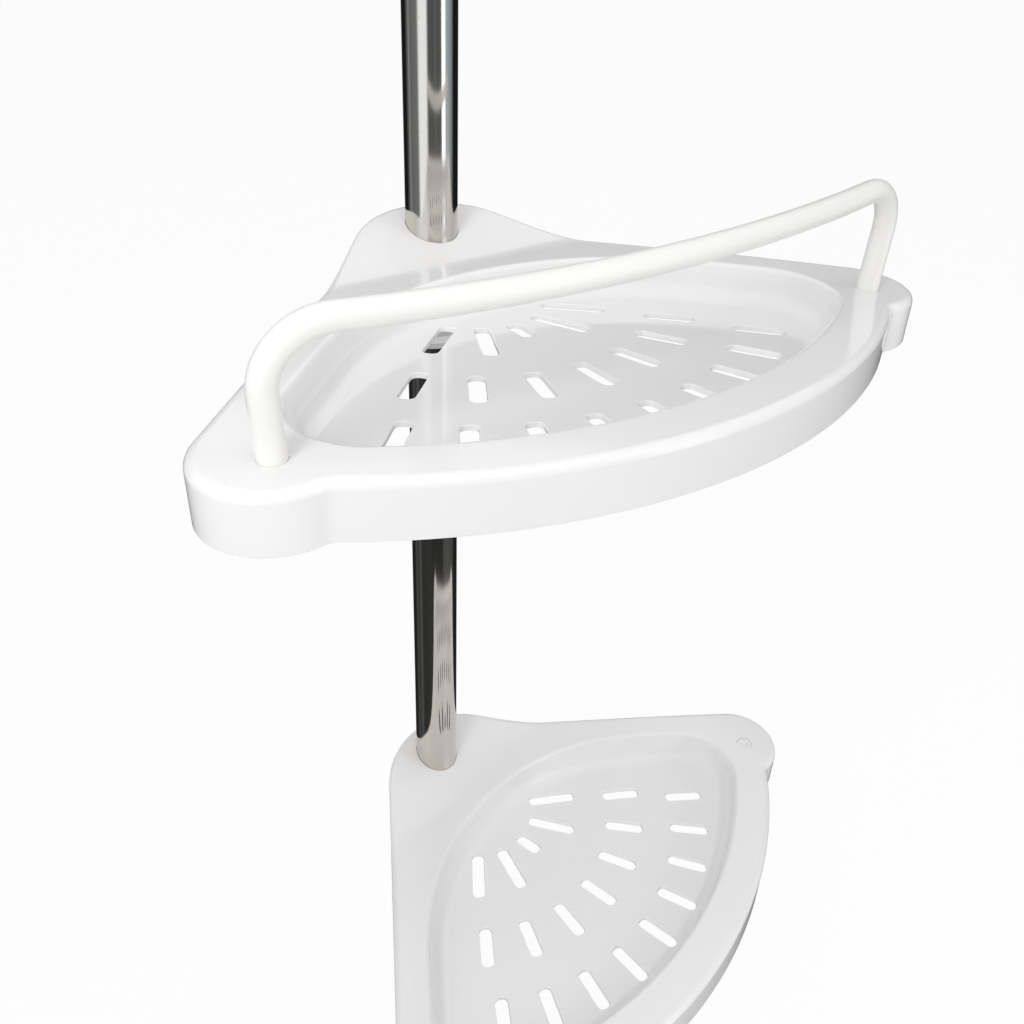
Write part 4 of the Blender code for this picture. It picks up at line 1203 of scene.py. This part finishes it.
def glow_round_pole(tree, tones):
    """Brightness by azimuth: (degrees, brightness, warmth) at each stop, blended between stops."""
    vector = tree.nodes.new("ShaderNodeTexCoord").outputs["Object"]
    parts = tree.nodes.new("ShaderNodeSeparateXYZ")
    tree.links.new(scaled(tree, vector, (-1, -1, 1)), parts.inputs[0])
    turn = maths(tree, "ARCTAN2", parts.outputs["Y"], parts.outputs["X"])
    share = maths(tree, "ADD", maths(tree, "DIVIDE", turn, math.tau), 0.5)
    blend = tree.nodes.new("ShaderNodeValToRGB")
    stops = blend.color_ramp.elements
    while len(stops) > 1:
        stops.remove(stops[-1])
    for index, (azimuth, brightness, warmth) in enumerate(tones):
        stop = stops.new(azimuth / 360) if index else stops[0]
        stop.position = azimuth / 360
        stop.color = (brightness * (1 + warmth), brightness, brightness * (1 - warmth), 1)
    tree.links.new(share, blend.inputs["Fac"])
    return blend.outputs["Color"]


def stage_piece(name, shape):
    mesh = bpy.data.meshes.new(name)
    shape.to_mesh(mesh)
    shape.free()
    obj = bpy.data.objects.new(name, mesh)
    bpy.context.scene.collection.objects.link(obj)
    return obj


def reflect_only(obj, tones):
    """Let only reflections see a card, which glows by azimuth and lights nothing."""
    material = bpy.data.materials.new(obj.name)
    material.use_nodes = True
    tree = material.node_tree
    shader = tree.nodes["Principled BSDF"]
    shader.inputs["Base Color"].default_value = (0, 0, 0, 1)
    shader.inputs["Specular IOR Level"].default_value = 0
    shader.inputs["Emission Strength"].default_value = 1.0
    tree.links.new(glow_round_pole(tree, tones), shader.inputs["Emission Color"])
    obj.data.materials.append(material)
    obj.visible_camera = False
    obj.visible_diffuse = False
    obj.visible_transmission = False
    obj.visible_shadow = False


# What the polished tube mirrors: azimuth in degrees, brightness and warmth
WALL_TONES = (
    (0, 0.012, -0.06),
    (104, 0.012, -0.06),
    (120, 0.14, -0.06),
    (127, 0.34, -0.06),
    (134, 0.17, -0.06),
    (168, 0.22, -0.06),
    (178, 1.15, -0.06),
    (206, 1.15, -0.06),
    (215, 0.11, -0.06),
    (238, 0.11, -0.06),
    (243, 0.16, -0.06),
    (248, 0.11, -0.06),
    (268, 0.12, -0.06),
    (272, 1.9, -0.06),
    (283, 1.9, -0.06),
    (289, 0.52, -0.12),
    (314, 0.36, -0.12),
    (330, 0.012, -0.06),
)
FLOOR_TONES = (
    (0, 0.015, -0.04),
    (16, 0.015, -0.04),
    (24, 0.30, -0.04),
    (60, 0.24, -0.04),
    (68, 0.015, -0.04),
    (104, 0.02, -0.04),
    (118, 0.08, -0.04),
    (132, 0.05, -0.04),
    (142, 0.08, -0.04),
    (147, 0.12, -0.04),
    (153, 0.05, -0.04),
    (165, 0.035, -0.04),
    (205, 0.045, -0.04),
    (215, 0.03, -0.04),
    (262, 0.03, -0.04),
    (275, 0.10, -0.04),
    (320, 0.08, -0.04),
    (340, 0.015, -0.04),
)
LOW_TONES = (
    (0, 0.012, -0.06),
    (17, 0.012, -0.06),
    (23, 0.50, -0.06),
    (35, 0.60, -0.06),
    (39, 0.16, -0.10),
    (50, 0.24, -0.10),
    (53, 0.60, -0.06),
    (61, 0.45, -0.06),
    (67, 0.012, -0.06),
)
CARD_RADIUS = 1.3
CARD_TOP = 1.4005
CARD_FOOT = 0.0005
CARD_STEPS = 96
LOW_CARD_RADIUS = 1.28
LOW_CARD_TOP = 0.74
LOW_CARD_STEPS = 32


def upright_card(name, tones, radius, top, steps, start=0.0, end=360.0):
    """A card that stands round the pole from one azimuth to another."""
    shape = bmesh.new()
    upright = [shape.verts.new((radius, 0, height)) for height in (CARD_FOOT, top)]
    turn = Matrix.Rotation(math.radians(start), 3, "Z")
    bmesh.ops.rotate(shape, verts=upright, cent=(0, 0, 0), matrix=turn)
    bmesh.ops.spin(
        shape,
        geom=[*upright, shape.edges.new(upright)],
        cent=(0, 0, 0),
        axis=(0, 0, 1),
        angle=math.radians(end - start),
        steps=steps,
        use_merge=end - start >= 360,
    )
    reflect_only(stage_piece(name, shape), tones)


upright_card("card_round_pole", WALL_TONES, CARD_RADIUS, CARD_TOP, CARD_STEPS)
low_span = (LOW_TONES[1][0], LOW_TONES[-1][0])
upright_card("low_card_behind", LOW_TONES, LOW_CARD_RADIUS, LOW_CARD_TOP, LOW_CARD_STEPS, *low_span)

disc_shape = bmesh.new()
bmesh.ops.create_circle(disc_shape, cap_ends=True, radius=CARD_RADIUS, segments=CARD_STEPS)
bmesh.ops.translate(disc_shape, verts=disc_shape.verts, vec=(0, 0, CARD_FOOT))
reflect_only(stage_piece("card_on_floor", disc_shape), FLOOR_TONES)

floor_shape = bmesh.new()
bmesh.ops.create_grid(floor_shape, x_segments=1, y_segments=1, size=FLOOR_SIZE)
floor = stage_piece("floor", floor_shape)


def seen_directly(tree):
    """1 for camera, glossy and transmission rays, so that they see a plain pale ground."""
    path = tree.nodes.new("ShaderNodeLightPath").outputs
    direct = maths(tree, "MAXIMUM", path["Is Camera Ray"], path["Is Glossy Ray"])
    return maths(tree, "MAXIMUM", direct, path["Is Transmission Ray"])


def pale_floor():
    """The floor's paint, with a glow of its own that still lets the object's shadow show."""
    material = bpy.data.materials.new("pale_floor")
    material.use_nodes = True
    tree = material.node_tree
    shader = tree.nodes["Principled BSDF"]
    shader.inputs["Base Color"].default_value = FLOOR_COLOUR
    shader.inputs["Roughness"].default_value = 1.0
    shader.inputs["Specular IOR Level"].default_value = 0
    glow = tree.nodes.new("ShaderNodeEmission")
    mix = tree.nodes.new("ShaderNodeMixShader")
    tree.links.new(maths(tree, "MULTIPLY", seen_directly(tree), FLOOR_GLOW), mix.inputs["Fac"])
    tree.links.new(shader.outputs["BSDF"], mix.inputs[1])
    tree.links.new(glow.outputs["Emission"], mix.inputs[2])
    tree.links.new(mix.outputs["Shader"], tree.nodes["Material Output"].inputs["Surface"])
    return material


floor.data.materials.append(pale_floor())

world = bpy.data.worlds.new("studio")
bpy.context.scene.world = world
world.use_nodes = True
tree = world.node_tree
background = tree.nodes["Background"]
background.inputs["Color"].default_value = (1, 1, 1, 1)
strength = tree.nodes.new("ShaderNodeMix")
strength.data_type = "FLOAT"
strength.inputs["A"].default_value = WORLD_LIGHT
strength.inputs["B"].default_value = SEEN_WORLD_LIGHT
tree.links.new(seen_directly(tree), strength.inputs["Factor"])
tree.links.new(strength.outputs["Result"], background.inputs["Strength"])

for lamp_facts in LAMPS:
    lamp(*lamp_facts)

# Camera, solved from the slots and rims of both shelves

camera_data = bpy.data.cameras.new("camera")
camera_data.sensor_width = 36
camera_data.lens = 34.9365
camera_data.shift_x = -0.02065
camera_data.shift_y = -0.11
camera_data.clip_start = 0.01
camera_data.clip_end = 60
camera = bpy.data.objects.new("camera", camera_data)
bpy.context.scene.collection.objects.link(camera)
camera.matrix_world = Matrix(
    (
        (0.60855, 0.34027, -0.71686, -0.33854),
        (-0.79263, 0.30332, -0.5289, -0.31423),
        (0.03746, 0.89006, 0.45429, 0.71464),
        (0, 0, 0, 1),
    )
)
bpy.context.scene.camera = camera
bpy.context.scene.view_settings.view_transform = "Standard"
